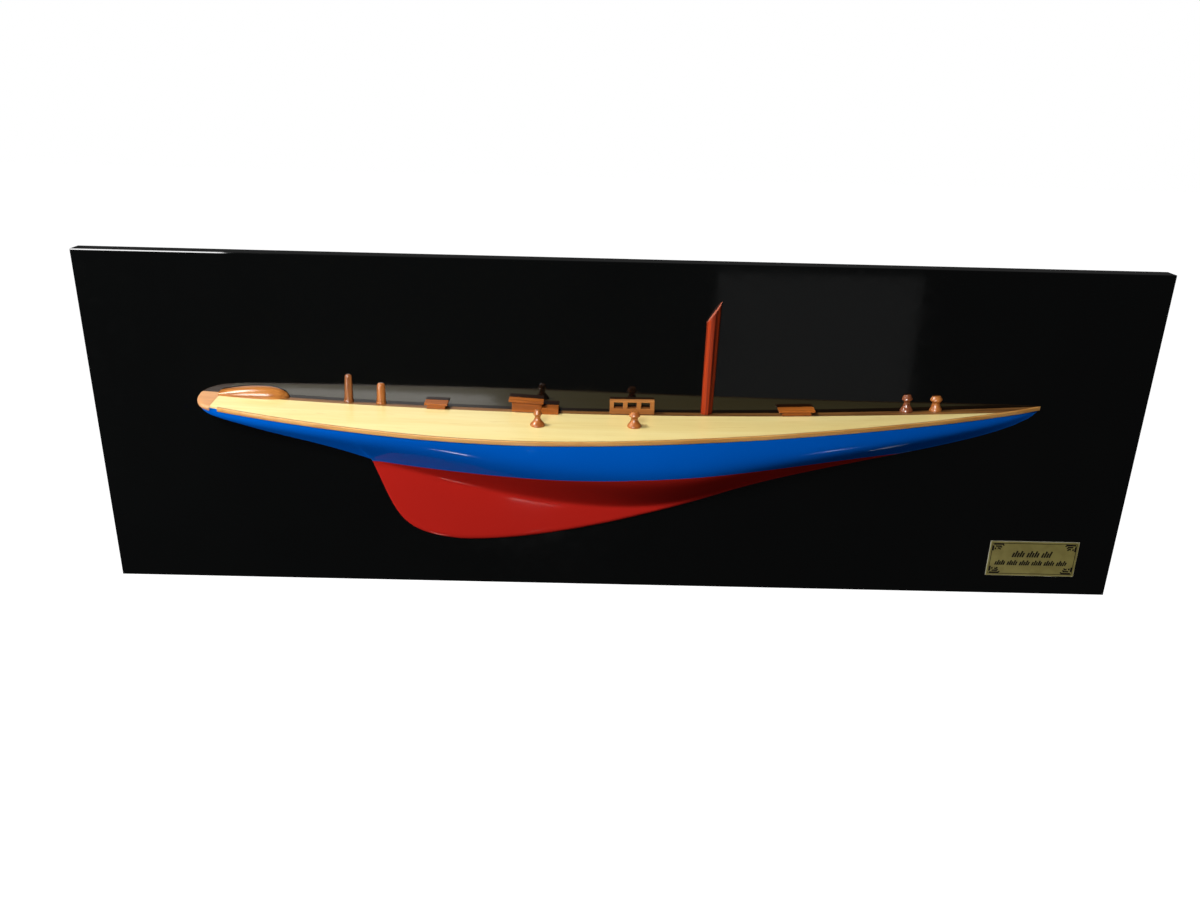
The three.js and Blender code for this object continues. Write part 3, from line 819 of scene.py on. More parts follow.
@dataclass(frozen=True)
class HullPaint(Finish):
    """Gloss topside paint over bottom paint, parted by the painted waterline."""

    name: str = "hull_paint"
    slot: str = "hull_paint"
    topside: Screen = (0, 106, 224)
    bottom: Screen = (202, 39, 30)
    line_height: float = -24.3
    line_slope: float = 0.0389
    line_softness: float = 0.35
    line_wander: float = 0.35
    clouding: float = 0.16
    roughness: float = 0.4
    coat: float = 0.12
    coat_ior: float = 1.3
    coat_roughness: float = 0.08
    peel: float = 0.01
    peel_strength: float = 0.3

    def paint(self, sheet: Sheet, shader: bpy.types.Node, effects: Effects) -> None:
        """Parts the two paints along a sloping plane and gives both the same film.

        Args:
            sheet: Sheet of the material.
            shader: The material's Principled BSDF.
            effects: The node groups and the materials made so far.
        """
        where = sheet.place()
        split = sheet.add("ShaderNodeSeparateXYZ", {0: where}).outputs
        line = sheet.math("MULTIPLY_ADD", split[0], self.line_slope, self.line_height * MM)
        waver = sheet.centred(sheet.noise(where, Noise.WATERLINE_WANDER))
        wander = sheet.times(waver, self.line_wander * MM)
        above = sheet.math("ADD", sheet.math("SUBTRACT", split[2], line), wander)
        reach = self.line_softness * MM
        paint = sheet.blend(sheet.spread(above, -reach, reach), shade(self.bottom), shade(self.topside))
        film = self.film(sheet, effects, paint, self.clouding, self.roughness)
        gloss = {
            "Base Color": film["Color"],
            "Roughness": film["Roughness"],
            "Specular IOR Level": 0.0,
            "Coat Weight": self.coat,
            "Coat IOR": self.coat_ior,
            "Coat Roughness": self.coat_roughness,
            "Normal": sheet.bump(film["Height"], self.peel, self.peel_strength),
        }
        sheet.feed(shader, gloss)


@dataclass(frozen=True)
class Brass(Finish):
    """Printed brass: a satin face with tarnish, or the dark filling of what is engraved in it."""

    name: str
    slot: str = "plate_brass"
    colour: Screen = (160, 148, 78)
    tarnish: Screen = (146, 134, 68)
    tarnish_range: Pair = (0.35, 0.7)
    clouding: float = 0.3
    metallic: float = 0.3
    roughness: float = 0.45
    specular: float = 0.5
    brushing: Triple = (60.0, 1.0, 3000.0)
    relief: float = 0.01
    relief_strength: float = 0.3

    def paint(self, sheet: Sheet, shader: bpy.types.Node, effects: Effects) -> None:
        """Clouds the metal with tarnish and brushes it lengthwise.

        Args:
            sheet: Sheet of the material.
            shader: The material's Principled BSDF.
            effects: The node groups and the materials made so far.
        """
        where = sheet.place()
        clouds = sheet.spread(sheet.noise(where, Noise.TARNISH), *self.tarnish_range)
        metal = sheet.blend(clouds, shade(self.colour), shade(self.tarnish))
        film = self.film(sheet, effects, metal, self.clouding, self.roughness)
        stretched = sheet.add("ShaderNodeMapping", {"Vector": where, "Scale": self.brushing}).outputs[0]
        brushed = sheet.noise(stretched, Noise.BRUSHING)
        satin = {
            "Base Color": film["Color"],
            "Roughness": film["Roughness"],
            "Metallic": self.metallic,
            "Specular IOR Level": self.specular,
            "Normal": sheet.bump(brushed, self.relief, self.relief_strength),
        }
        sheet.feed(shader, satin)


LACQUER = Lacquer()
HULL_PAINT = HullPaint()
PLATE_FACE = Brass("plate_face")
PLATE_EDGE = Brass("plate_edge", colour=(236, 232, 206), tarnish=(206, 200, 164))
PLATE_INK = Brass(
    "plate_ink",
    colour=(22, 17, 9),
    tarnish=(30, 24, 12),
    metallic=0.0,
    roughness=0.6,
    specular=0.1,
)
DECK_WOOD = Wood(
    "deck_wood",
    "deck_wood",
    light=(250, 229, 158),
    dark=(243, 219, 144),
    pore=(220, 184, 112),
    grain=Grain.ALONG_DECK,
    pore_share=0.4,
    roughness=0.42,
    coat=0.6,
    coat_roughness=0.12,
    relief=0.03,
)
PLANK_WOOD = Wood(
    "plank_wood",
    "plank_wood",
    light=(146, 100, 50),
    dark=(98, 62, 28),
    pore=(58, 32, 12),
    grain=Grain.ALONG_HULL,
    roughness=0.42,
    coat=0.15,
)
RAIL_LINE = Wood(
    "rail_line",
    "rail_wood",
    light=(150, 96, 48),
    dark=(116, 70, 32),
    pore=(80, 44, 18),
    grain=Grain.ALONG_HULL,
    coat=0.1,
)
RAIL_WOOD = Wood(
    "rail_wood",
    "rail_wood",
    light=(234, 176, 98),
    dark=(212, 148, 72),
    pore=(160, 98, 38),
    grain=Grain.ALONG_HULL,
    roughness=0.4,
    coat=0.2,
    # Painted shade on the rail's upward faces, darkened towards the pore colour.
    painted_top_shade=0.25,
)
STERN_WOOD = Wood(
    "stern_wood",
    "stern_wood",
    light=(220, 163, 110),
    dark=(203, 141, 92),
    pore=(168, 104, 58),
    grain=Grain.ALONG_DECK,
    roughness=0.45,
    coat=0.15,
)
HOUSE_WOOD = Wood(
    "house_wood",
    "house_wood",
    light=(183, 103, 37),
    dark=(140, 74, 24),
    pore=(86, 40, 10),
    grain=Grain.ALONG_HULL,
    roughness=0.36,
    specular=0.2,
    coat=0.12,
)
SKYLIGHT_WOOD = Wood(
    "skylight_wood",
    "house_wood",
    light=(190, 126, 66),
    dark=(162, 97, 43),
    pore=(114, 61, 23),
    grain=Grain.ALONG_HULL,
    roughness=0.38,
    specular=0.25,
    coat=0.15,
    shift=(3.1, 0.0, 7.7),
)
DINGHY_WOOD = Wood(
    "dinghy_wood",
    "house_wood",
    light=(202, 132, 64),
    dark=(164, 98, 40),
    pore=(108, 58, 20),
    grain=Grain.ALONG_HULL,
    roughness=0.25,
    coat=0.35,
    coat_roughness=0.07,
    relief=0.05,
    shift=(1.3, 5.0, 2.2),
)
TURNED_WOOD = Wood(
    "turned_wood",
    "turned_wood",
    light=(202, 124, 56),
    dark=(164, 90, 36),
    pore=(110, 54, 18),
    grain=Grain.UPRIGHT,
    roughness=0.34,
    coat=0.8,
    coat_roughness=0.08,
)
POST_WOOD = Wood(
    "tall_post_wood",
    "turned_wood",
    light=(170, 102, 54),
    dark=(134, 74, 34),
    pore=(90, 44, 16),
    grain=Grain.UPRIGHT,
    roughness=0.34,
    coat=0.8,
    coat_roughness=0.08,
    shift=(2.7, 0.0, 4.1),
)
BITT_WOOD = Wood(
    "bitt_wood",
    "turned_wood",
    light=(172, 100, 62),
    dark=(128, 68, 38),
    pore=(74, 34, 16),
    grain=Grain.UPRIGHT,
    roughness=0.2,
    coat=1.0,
    coat_roughness=0.05,
)
MAST_WOOD = Wood(
    "mast_wood",
    "mast_wood",
    light=(174, 59, 24),
    dark=(62, 12, 5),
    pore=(44, 8, 3),
    grain=Grain.MAST,
    pore_share=0.9,
    roughness=0.5,
    specular=0.1,
    coat=0.02,
    coat_roughness=0.1,
)
CUT_WOOD = Wood(
    "mast_cut",
    "mast_wood",
    light=(184, 98, 72),
    dark=(146, 64, 44),
    pore=(96, 34, 20),
    grain=Grain.UPRIGHT,
    roughness=0.7,
    coat=0.0,
)


class Assembly(ABC):
    """A sub-assembly of the model: it builds its meshes and dresses them."""

    finish: Finish
    crease: float = 35.0
    soft_angle: float = 40.0

    @abstractmethod
    def build(self) -> list[bpy.types.Object]:
        """Builds the sub-assembly's pieces."""

    def dress(self, pieces: Sequence[bpy.types.Object], effects: Effects) -> None:
        """Gives every piece the sub-assembly's finish."""
        for piece in pieces:
            self.coat(piece, self.finish, effects)

    def piece(self, name: str, plan: MeshPlan, node: str | None) -> bpy.types.Object:
        """Makes an object from a plan, rides it on the root body and lets it stand for a CAD node.

        An edge stays sharp where its faces meet at more degrees than the crease.

        Args:
            name: Name of the piece.
            plan: Its vertices and faces.
            node: CAD node that it stands for, if any.

        Returns:
            The object.
        """
        sculpt = bmesh.new()
        points = [sculpt.verts.new(point) for point in plan.points]
        for face in plan.faces:
            sculpt.faces.new([points[index] for index in face])
        bmesh.ops.recalc_face_normals(sculpt, faces=sculpt.faces)
        mesh = bpy.data.meshes.new(name)
        sculpt.to_mesh(mesh)
        sculpt.free()
        mesh.shade_smooth()
        mesh.set_sharp_from_angle(angle=math.radians(self.crease))
        made = bpy.data.objects.new(name, mesh)
        bpy.context.scene.collection.objects.link(made)
        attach(made, "root")
        if node:
            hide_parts(node)
        return made

    def soften(self, piece: bpy.types.Object, width: float, segments: int = 3) -> None:
        """Rounds a piece's edges over by a width in millimetres.

        Args:
            piece: The piece.
            width: Width of the rounding.
            segments: Steps of the rounding.
        """
        bevel = piece.modifiers.new("softened_edges", "BEVEL")
        bevel.width = width * MM
        bevel.segments = segments
        bevel.limit_method = "ANGLE"
        bevel.angle_limit = math.radians(self.soft_angle)
        bevel.harden_normals = True

    @staticmethod
    def coat(piece: bpy.types.Object, finish: Finish, effects: Effects) -> None:
        """Puts a finish on a whole piece.

        Args:
            piece: The piece.
            finish: The finish.
            effects: The node groups and the materials made so far.
        """
        piece.data.materials.clear()
        piece.data.materials.append(finish.material(effects))


@dataclass
class Backboard(Assembly):
    """Lacquered backboard, kept as the frame has it."""

    finish: Finish = LACQUER

    def build(self) -> list[bpy.types.Object]:
        """The board's own node, which already has its shape."""
        return [frame["nodes"]["backboard"]]

    def dress(self, pieces: Sequence[bpy.types.Object], effects: Effects) -> None:
        """Lacquers every slot of the node."""
        for slot in pieces[0].material_slots:
            slot.material = self.finish.material(effects)


@dataclass
class Hull(Assembly):
    """Carved half hull with its fin keel, rebated for the rail."""

    side_steps: int = 34
    fin_steps: int = 18
    crown_steps: int = 6
    spacing: float = 4.0
    end_spacing: float = 1.2
    fillet_share: float = 0.06
    garboard_share: float = 0.15
    step: float = 0.05
    crease: float = 50.0
    finish: Finish = HULL_PAINT

    def section(self, station: float) -> list[Pair]:
        """Ring of the hull's section at a station, as (outward, height).

        Args:
            station: Station along the board, in millimetres.

        Returns:
            The ring's points, from the top of the side down and back along the crown.
        """
        lines = LINES
        aft = station < lines.rail_station
        layer = lines.cap_thickness if station < lines.stern_corner[0] else lines.deck_thickness
        keel = lines.keel(station)

        def top_at(outward: float) -> float:
            """Height of the hull's top under the deck."""
            return max(lines.deck(station, outward) - layer - SEAM, keel + SEAM)

        side = lines.side(station)
        wall = side if aft else max(min(side, lines.rail_inner(station) - SEAM), lines.thinnest / 2)
        top = top_at(wall)
        ledge = lines.deck(station, lines.edge(station)) + lines.rail_above_deck - lines.rail_depth - SEAM
        ledge = clamp(ledge, keel + SEAM / 2, top - SEAM / 2)
        upper = top - SEAM / 4 if aft else ledge
        garboard = max(
            lerp(lines.floor(station), ledge, self.fillet_share),
            lerp(keel, ledge, self.garboard_share),
        )
        heights = eased(upper, garboard, self.side_steps) + eased(garboard, keel, self.fin_steps)[1:-1]
        flank = [(max(lines.breadth(station, height), lines.thinnest / 2), height) for height in heights]
        crown = [(outward, top_at(outward)) for outward in divided(SEAM, wall, self.crown_steps)]
        return [(wall, upper + SEAM / 8), *flank, (SEAM, keel), *crown]

    def build(self) -> list[bpy.types.Object]:
        """Lofts the hull from the counter to the stem.

        Returns:
            The pieces' objects.
        """
        lines = LINES
        tip = lines.narrows_to(lines.edge, lines.rail_proud + lines.thinnest)
        step = self.step
        counter, corner, rail = lines.counter_end[0], lines.stern_corner[0], lines.rail_station
        sternpost, lowest, stem = lines.sternpost_head[0], lines.keel_lowest[0], lines.stem_pull[0]
        runs = [
            *stations(counter + step, corner - step, self.end_spacing),
            *stations(corner, rail - step, self.spacing),
            *stations(rail, sternpost - step, self.spacing),
            *stations(sternpost + step, lowest, self.spacing / 2),
            *stations(lowest + step, stem, self.spacing),
            *stations(stem + step, tip, self.end_spacing),
        ]
        rings = [[world(station, *pair) for pair in self.section(station)] for station in runs]
        return [self.piece("hull_carved", MeshPlan().skin(rings), "hull")]


@dataclass
class Decking(Assembly):
    """Laid deck, king plank along the board, and rail round the sheer."""

    spacing: float = 5.0
    deck_steps: int = 10
    plank_steps: int = 3
    arris: float = 0.6
    arris_steps: int = 4
    inner_corners: int = 3
    line_width: float = 0.7
    line_faces: int = 2
    finishes: tuple[Finish, ...] = (DECK_WOOD, PLANK_WOOD, RAIL_WOOD)
    line_finish: Finish = RAIL_LINE

    @staticmethod
    def layer(runs: Sequence[float], inner: Edge, outer: Edge, steps: int) -> MeshPlan:
        """Layer of wood that is bent to the camber.

        Args:
            runs: Stations of its sections.
            inner: Outward distance of its inner edge at a station.
            outer: Outward distance of its outer edge at a station.
            steps: Steps that it is divided into across.

        Returns:
            The plan of its mesh.
        """
        rings = []
        for station in runs:
            across = divided(inner(station), outer(station), steps)
            top = [(outward, LINES.deck(station, outward)) for outward in across]
            low = [(outward, height - LINES.deck_thickness) for outward, height in top]
            rings.append([world(station, *pair) for pair in low + top[::-1]])
        return MeshPlan().skin(rings)

    def rail_section(self, station: float) -> Ring:
        """Section of the rail, with its outer edges rounded over and a dark line along its inner edge.

        Args:
            station: Station along the board, in millimetres.

        Returns:
            Ring of the rail's corners.
        """
        outer = LINES.edge(station)
        inner = LINES.rail_inner(station)
        top = LINES.deck(station, outer) + LINES.rail_above_deck
        bottom = top - LINES.rail_depth
        arris = min(self.arris, (outer - inner) / 3)
        turns = divided(0, QUARTER_TURN, self.arris_steps)
        rounding = [(arris * (1 - math.sin(turn)), arris * (1 - math.cos(turn))) for turn in turns]
        lower = [(outer - across, bottom + up) for across, up in rounding]
        upper = [(outer - across, top - down) for down, across in rounding]
        line = inner + min(self.line_width, (outer - inner) / 3)
        section = [(inner, bottom), *lower, *upper, (line, top), (inner, top)]
        return [world(station, *pair) for pair in section]

    def build(self) -> list[bpy.types.Object]:
        """Builds the deck, the plank and the rail.

        Returns:
            The deck, the plank and the rail.
        """
        lines = LINES
        start = lines.stern_corner[0] + SEAM
        step = lines.rail_station - SEAM

        def deck_inner(station: float) -> float:
            """Inner edge of the laid deck."""
            return lines.plank_edge(station) + SEAM

        def deck_outer(station: float) -> float:
            """Outer edge of the laid deck, out to the planking aft of the rail."""
            return lines.side(station) if station < step else lines.rail_inner(station) - SEAM

        point = lines.narrows_to(lambda station: deck_outer(station) - deck_inner(station), SEAM)
        tip = lines.narrows_to(lines.plank_edge, 2 * SEAM)
        deck_runs = stations(start, step - SEAM / 2, self.spacing) + stations(step, point, self.spacing)
        plank_runs = stations(start, tip, self.spacing)
        rail_runs = stations(lines.rail_station, lines.bow_tip[0], self.spacing)
        deck = self.layer(deck_runs, deck_inner, deck_outer, self.deck_steps)
        plank = self.layer(plank_runs, lambda _: SEAM, lines.plank_edge, self.plank_steps)
        rail = MeshPlan().skin([self.rail_section(station) for station in rail_runs])
        return [
            self.piece("deck_laid", deck, "deck"),
            self.piece("king_plank_laid", plank, "king_plank"),
            self.piece("rail_bent", rail, "rub_rail"),
        ]

    def dress(self, pieces: Sequence[bpy.types.Object], effects: Effects) -> None:
        """Varnishes the three woods and darkens the faces of the rail's inner line.

        Args:
            pieces: Pieces that build made.
            effects: The node groups and the materials made so far.
        """
        for piece, finish in zip(pieces, self.finishes):
            self.coat(piece, finish, effects)
        rail = pieces[2].data
        rail.materials.append(self.line_finish.material(effects))
        corners = 2 * (self.arris_steps + 1) + self.inner_corners
        for face in rail.polygons:
            if len(face.vertices) == 4 and face.index % corners >= corners - self.line_faces:
                face.material_index = 1


@dataclass
class SternCap(Assembly):
    """Rounded block that closes the stern at deck level."""

    rim_steps: int = 40
    joint_steps: int = 10
    edge_steps: int = 7
    crown_inset: float = 3.4
    crown_drop: float = 0.42
    foot_inset: float = 0.9
    foot_rise: float = 0.28
    foot_ease: float = 0.3
    inner_scales: tuple[float, ...] = (0.7, 0.4, 0.15)
    crease: float = 50.0
    finish: Finish = STERN_WOOD

    def levels(self) -> list[Pair]:
        """Inset in millimetres and share of the thickness below the deck, from the foot to the crown.

        Returns:
            The levels, from the foot up.
        """
        levels = [
            (self.foot_inset, 1.0),
            (self.foot_ease * self.foot_inset, 1 - self.foot_ease * self.foot_rise),
            (0.0, 1 - self.foot_rise),
        ]
        for turn in divided(0, QUARTER_TURN, self.edge_steps):
            levels.append((self.crown_inset * (1 - math.cos(turn)), self.crown_drop * (1 - math.sin(turn))))
        return levels

    def build(self) -> list[bpy.types.Object]:
        """Skins the cap from rings that follow its plan, drawn in and lowered to ease its edge.

        Returns:
            The pieces' objects.
        """
        lines = LINES
        anchor = lines.stern_corner[0] - SEAM
        length = anchor - lines.stern_tip[0]
        breadth = lines.edge(anchor)
        rim = [Outline.point(lines.stern_round, share) for share in divided(0, 1, self.rim_steps)]
        rim = [(min(station, anchor), outward) for station, outward in rim]
        joint = [(anchor, outward) for outward in divided(breadth, 0, self.joint_steps)[1:]]

        def ring(inset: float, share: float, scale: float) -> Ring:
            """Ring of the plan, drawn in by an inset and a scale, at a share of the thickness.

            Args:
                inset: How far the ring is drawn in.
                share: Share of the thickness.
                scale: Scale about the joint.

            Returns:
                The ring's points.
            """
            points = []
            for station, outward in rim + joint:
                along = anchor - (anchor - station) * (1 - inset / length) * scale
                across = max(outward * (1 - inset / breadth), SEAM) * scale + SEAM * (1 - scale)
                points.append(world(along, across, lines.deck(along, across) - lines.cap_thickness * share))
            return points

        levels = self.levels()
        under = [ring(*levels[0], scale) for scale in self.inner_scales[::-1]]
        over = [ring(*levels[-1], scale) for scale in self.inner_scales]
        rings = [*under, *(ring(inset, share, 1.0) for inset, share in levels), *over]
        return [self.piece("stern_cap_rounded", MeshPlan().skin(rings), "stern_cap")]


@dataclass
class DeckSpot:
    """Place on the deck where a fitting stands, with its own axes: x forward, outward and height."""

    station: float
    outward: float = 0.0
    upright: bool = False

    def point(self, x: float, outward: float, height: float) -> Vector:
        """World point of a fitting's own point; what lies below the deck is scribed to it.

        Args:
            x: Distance forward of the spot, in millimetres.
            outward: Distance outward of the spot.
            height: Height above the deck; below nought the point is laid on the deck.

        Returns:
            The point in metres.
        """
        tilt = 0.0 if self.upright else math.atan(LINES.slope(self.station, self.outward))
        station = self.station + x * math.cos(tilt) - max(height, 0) * math.sin(tilt)
        across = self.outward + outward + SEAM
        if height < 0:
            return world(station, across, LINES.deck(station, across) + SEAM / 2)
        rise = x * math.sin(tilt) + height * math.cos(tilt)
        return world(station, across, LINES.deck(self.station, self.outward) + rise)

    def prism(
        self, corners: Sequence[Pair], start: float, end: float, steps: int = 1, fall: float = 0.0
    ) -> MeshPlan:
        """Prism along the board.

        Args:
            corners: Corners of its section, as (outward, height).
            start: Aft end, forward of the spot.
            end: Fore end.
            steps: Steps that it is divided into.
            fall: Drop of the corners above the deck for each millimetre forward.

        Returns:
            The plan of its mesh.
        """
        rings = []
        for x in divided(start, end, steps):
            section = [(outward, high - fall * x if high > 0 else high) for outward, high in corners]
            rings.append([self.point(x, *corner) for corner in section])
        return MeshPlan().skin(rings)


@dataclass
class Dinghy(Assembly):
    """Upturned half dinghy on the after deck."""

    spot: DeckSpot = field(default_factory=lambda: DeckSpot(-382.0))
    length: float = 64.8
    half_beam: float = 11.5
    transom_half_beam: float = 9.5
    depth: float = 9.7
    transom_depth: float = 2.8
    beam_share: float = 0.45
    depth_share: float = 0.69
    bow_fullness: float = 2.8
    side_fullness: float = 2.4
    bow_end: float = 0.9985
    rings: int = 48
    side_steps: int = 18
    crease: float = 45.0
    finish: Finish = DINGHY_WOOD

    def breadth(self, place: float) -> float:
        """Half breadth at a share of the length from the transom.

        Args:
            place: Share of the length.

        Returns:
            Half breadth in millimetres.
        """
        if place < self.beam_share:
            return lerp(self.half_beam, self.transom_half_beam, (1 - place / self.beam_share) ** 2)
        fore = (place - self.beam_share) / (1 - self.beam_share)
        return self.half_beam * math.sqrt(1 - fore**self.bow_fullness)

    def rise(self, place: float) -> float:
        """Height of the upturned bottom at a share of the length from the transom.

        Args:
            place: Share of the length.

        Returns:
            Height in millimetres.
        """
        if place < self.depth_share:
            return lerp(self.depth, self.transom_depth, (1 - place / self.depth_share) ** 2)
        fore = (place - self.depth_share) / (1 - self.depth_share)
        return self.depth * math.sqrt(1 - fore**2)

    def build(self) -> list[bpy.types.Object]:
        """Lofts the dinghy from its transom to its bluff bow.

        Returns:
            The pieces' objects.
        """
        power = 2 / self.side_fullness
        rings = []
        for swing in divided(0, QUARTER_TURN, self.rings):
            place = math.sin(swing) * self.bow_end
            beam, rise = self.breadth(place), self.rise(place)
            section = [(0.0, SCRIBED), (beam * 0.5, SCRIBED), (beam, SCRIBED)]
            for turn in divided(0, QUARTER_TURN, self.side_steps)[1:]:
                across = abs(math.cos(turn)) ** power * beam
                section.append((across, max(math.sin(turn) ** power * rise, 0.0)))
            rings.append([self.spot.point(place * self.length, *pair) for pair in section])
        return [self.piece("dinghy_carved", MeshPlan().skin(rings), "dinghy")]


@dataclass
class Turning(Assembly):
    """Turned fitting, whole or sawn flat where it stands against the board."""

    node: str
    spot: DeckSpot
    profile: Sequence[Pair]
    half: bool
    finish: Finish = TURNED_WOOD
    segments: int = 48
    crease: float = 38.0

    def build(self) -> list[bpy.types.Object]:
        """Turns the profile about its upright axis, and fills the sawn face of a half one.

        Returns:
            The pieces' objects.
        """
        if self.half:
            angles = divided(0, math.pi, self.segments // 2)
        else:
            angles = divided(0, 2 * math.pi, self.segments)[:-1]
        directions = [(math.cos(angle), math.sin(angle)) for angle in angles]
        rings = []
        for radius, height in self.profile:
            circle = [(radius * x, radius * outward) for x, outward in directions]
            rings.append([self.spot.point(*place, height) for place in circle])
        plan = MeshPlan().skin(rings, closed=not self.half, caps=False)
        axis = [self.spot.point(0.0, 0.0, height) for _, height in self.profile]
        size, rows = len(angles), len(rings) - 1
        foot = plan.fan(axis[0], range(size), not self.half)
        crown = plan.fan(axis[-1], range(rows * size, (rows + 1) * size), not self.half)
        if self.half:
            inner = range(len(plan.points), len(plan.points) + rows - 1)
            plan.points.extend(axis[1:-1])
            middles = [foot, *inner, crown]
            for row in range(rows):
                fore, aft = row * size, (row + 1) * size - 1
                low, high = middles[row], middles[row + 1]
                plan.faces.append((fore, fore + size, high, low))
                plan.faces.append((low, high, aft + size, aft))
        return [self.piece(f"{self.node}_turned", plan, self.node)]


def smooth_profile(knots: Sequence[Pair], steps: int) -> list[Pair]:
    """Smooth curve through the knots of a turned profile.

    Args:
        knots: Points of the profile as (radius, height), from the foot up.
        steps: Steps between neighbouring knots.

    Returns:
        The finer profile.
    """
    padded = [knots[0], *knots, knots[-1]]
    curve = []
    for index in range(1, len(padded) - 2):
        before, start, end, after = padded[index - 1 : index + 3]
        for step in range(steps):
            share = step / steps
            point = []
            for a, b, c, d in zip(before, start, end, after):
                square = (2 * a - 5 * b + 4 * c - d) * share**2
                cube = (3 * b - a - 3 * c + d) * share**3
                point.append(0.5 * (2 * b + (c - a) * share + square + cube))
            curve.append(tuple(point))
    return [*curve, knots[-1]]


@dataclass(frozen=True)
class SpoolSizes:
    """Sizes of a turned spool: bell foot, waist, and a head that is widest at its lower rim.

    The foot, neck, head and crown are radii. The bell, flare and dome are knots between them, each as
    the share of the way from one radius to the next and the share of the height.
    """

    foot: float
    neck: float
    head: float
    crown: float
    height: float
    rim: float = 0.35
    rim_ease: Pair = (0.4, 0.15)
    bell: tuple[Pair, ...] = ((0.0, 0.07), (0.2, 0.15), (0.62, 0.28), (0.92, 0.42))
    neck_place: float = 0.54
    flare: Pair = (0.35, 0.63)
    head_place: float = 0.72
    dome: tuple[Pair, ...] = ((0.1, 0.8), (0.7, 0.92))
    smoothing: int = 4

    def profile(self) -> list[Pair]:
        """Profile from the foot on the deck to the crown.

        Returns:
            The profile, as (radius, height).
        """
        knots = [
            *((lerp(self.foot, self.neck, way), place) for way, place in self.bell),
            (self.neck, self.neck_place),
            (lerp(self.neck, self.head, self.flare[0]), self.flare[1]),
            (self.head, self.head_place),
            *((lerp(self.head, self.crown, way), place) for way, place in self.dome),
            (self.crown, 1.0 - self.rim / self.height),
        ]
        body = smooth_profile([(radius, share * self.height) for radius, share in knots], self.smoothing)
        inward, down = self.rim_ease
        rounding = (self.crown - self.rim * inward, self.height - self.rim * down)
        return [(self.foot, SCRIBED), *body, rounding, (self.crown - self.rim, self.height)]


@dataclass(frozen=True)
class PostSizes:
    """Sizes of a turned post: low foot, slight taper and rounded top."""

    radius: float
    foot: float
    height: float
    taper: float
    foot_height: float = 1.8
    foot_ease: float = 0.8
    shoulder: Pair = (0.4, 0.3)
    crown: float = 2.4
    crown_steps: int = 8

    def profile(self) -> list[Pair]:
        """Profile from the foot on the deck to the crown.

        Returns:
            The profile, as (radius, height).
        """
        inward, down = self.shoulder
        profile = [
            (self.foot, SCRIBED),
            (self.foot, self.foot_height - self.foot_ease),
            (lerp(self.foot, self.radius, inward), self.foot_height - down * self.foot_ease),
            (self.radius, self.foot_height),
        ]
        top = self.radius - self.taper
        for turn in divided(0, QUARTER_TURN, self.crown_steps):
            rounding = (self.crown * (1 - math.cos(turn)), self.crown * (1 - math.sin(turn)))
            profile.append((top - rounding[0], self.height - rounding[1]))
        return profile


def wall_and_cover(
    outward: float, height: float, eave: float, slope: float, thickness: float
) -> tuple[list[Pair], list[Pair]]:
    """Sections of a wall with a sloping top and of the cover that lies on it.

    Args:
        outward: How far the wall stands out from the board.
        height: Height of the wall at the board.
        eave: How far the cover runs past the wall.
        slope: Fall of the cover for each millimetre outward.
        thickness: Thickness of the cover.

    Returns:
        The section of the wall and the section of the cover, each as (outward, height).
    """

    def underside(place: float) -> float:
        """Height of the cover's underside."""
        return height + SEAM - slope * place

    reach = outward + eave
    wall = [(0.0, SCRIBED), (outward, SCRIBED), (outward, underside(outward) - SEAM), (0.0, height)]
    low = [(0.0, underside(0)), (reach, underside(reach))]
    return wall, [*low, (reach, underside(reach) + thickness), (0.0, underside(0) + thickness)]


@dataclass
class Hatch(Assembly):
    """Coaming with a sloping top, and the lid that lies on it and runs past its ends and its front."""

    name: str
    spot: DeckSpot
    length: float
    outward: float
    overhang: float
    eave: float
    coaming_height: float = 4.2
    lid_thickness: float = 1.9
    lid_slope: float = 0.07
    coaming_edge: float = 0.25
    lid_edge: float = 0.35
    steps: int = 4
    finish: Finish = HOUSE_WOOD

    def build(self) -> list[bpy.types.Object]:
        """Builds the coaming and the lid.

        Returns:
            The coaming and the lid.
        """
        wall, cover = wall_and_cover(
            self.outward, self.coaming_height, self.eave, self.lid_slope, self.lid_thickness
        )
        half = self.length / 2
        end = half + self.overhang
        coaming = self.spot.prism(wall, -half, half, self.steps)
        lid = self.spot.prism(cover, -end, end)
        pieces = [
            self.piece(f"{self.name}_coaming_cut", coaming, f"{self.name}_coaming"),
            self.piece(f"{self.name}_lid_cut", lid, f"{self.name}_lid"),
        ]
        self.soften(pieces[0], self.coaming_edge)
        self.soften(pieces[1], self.lid_edge)
        return pieces


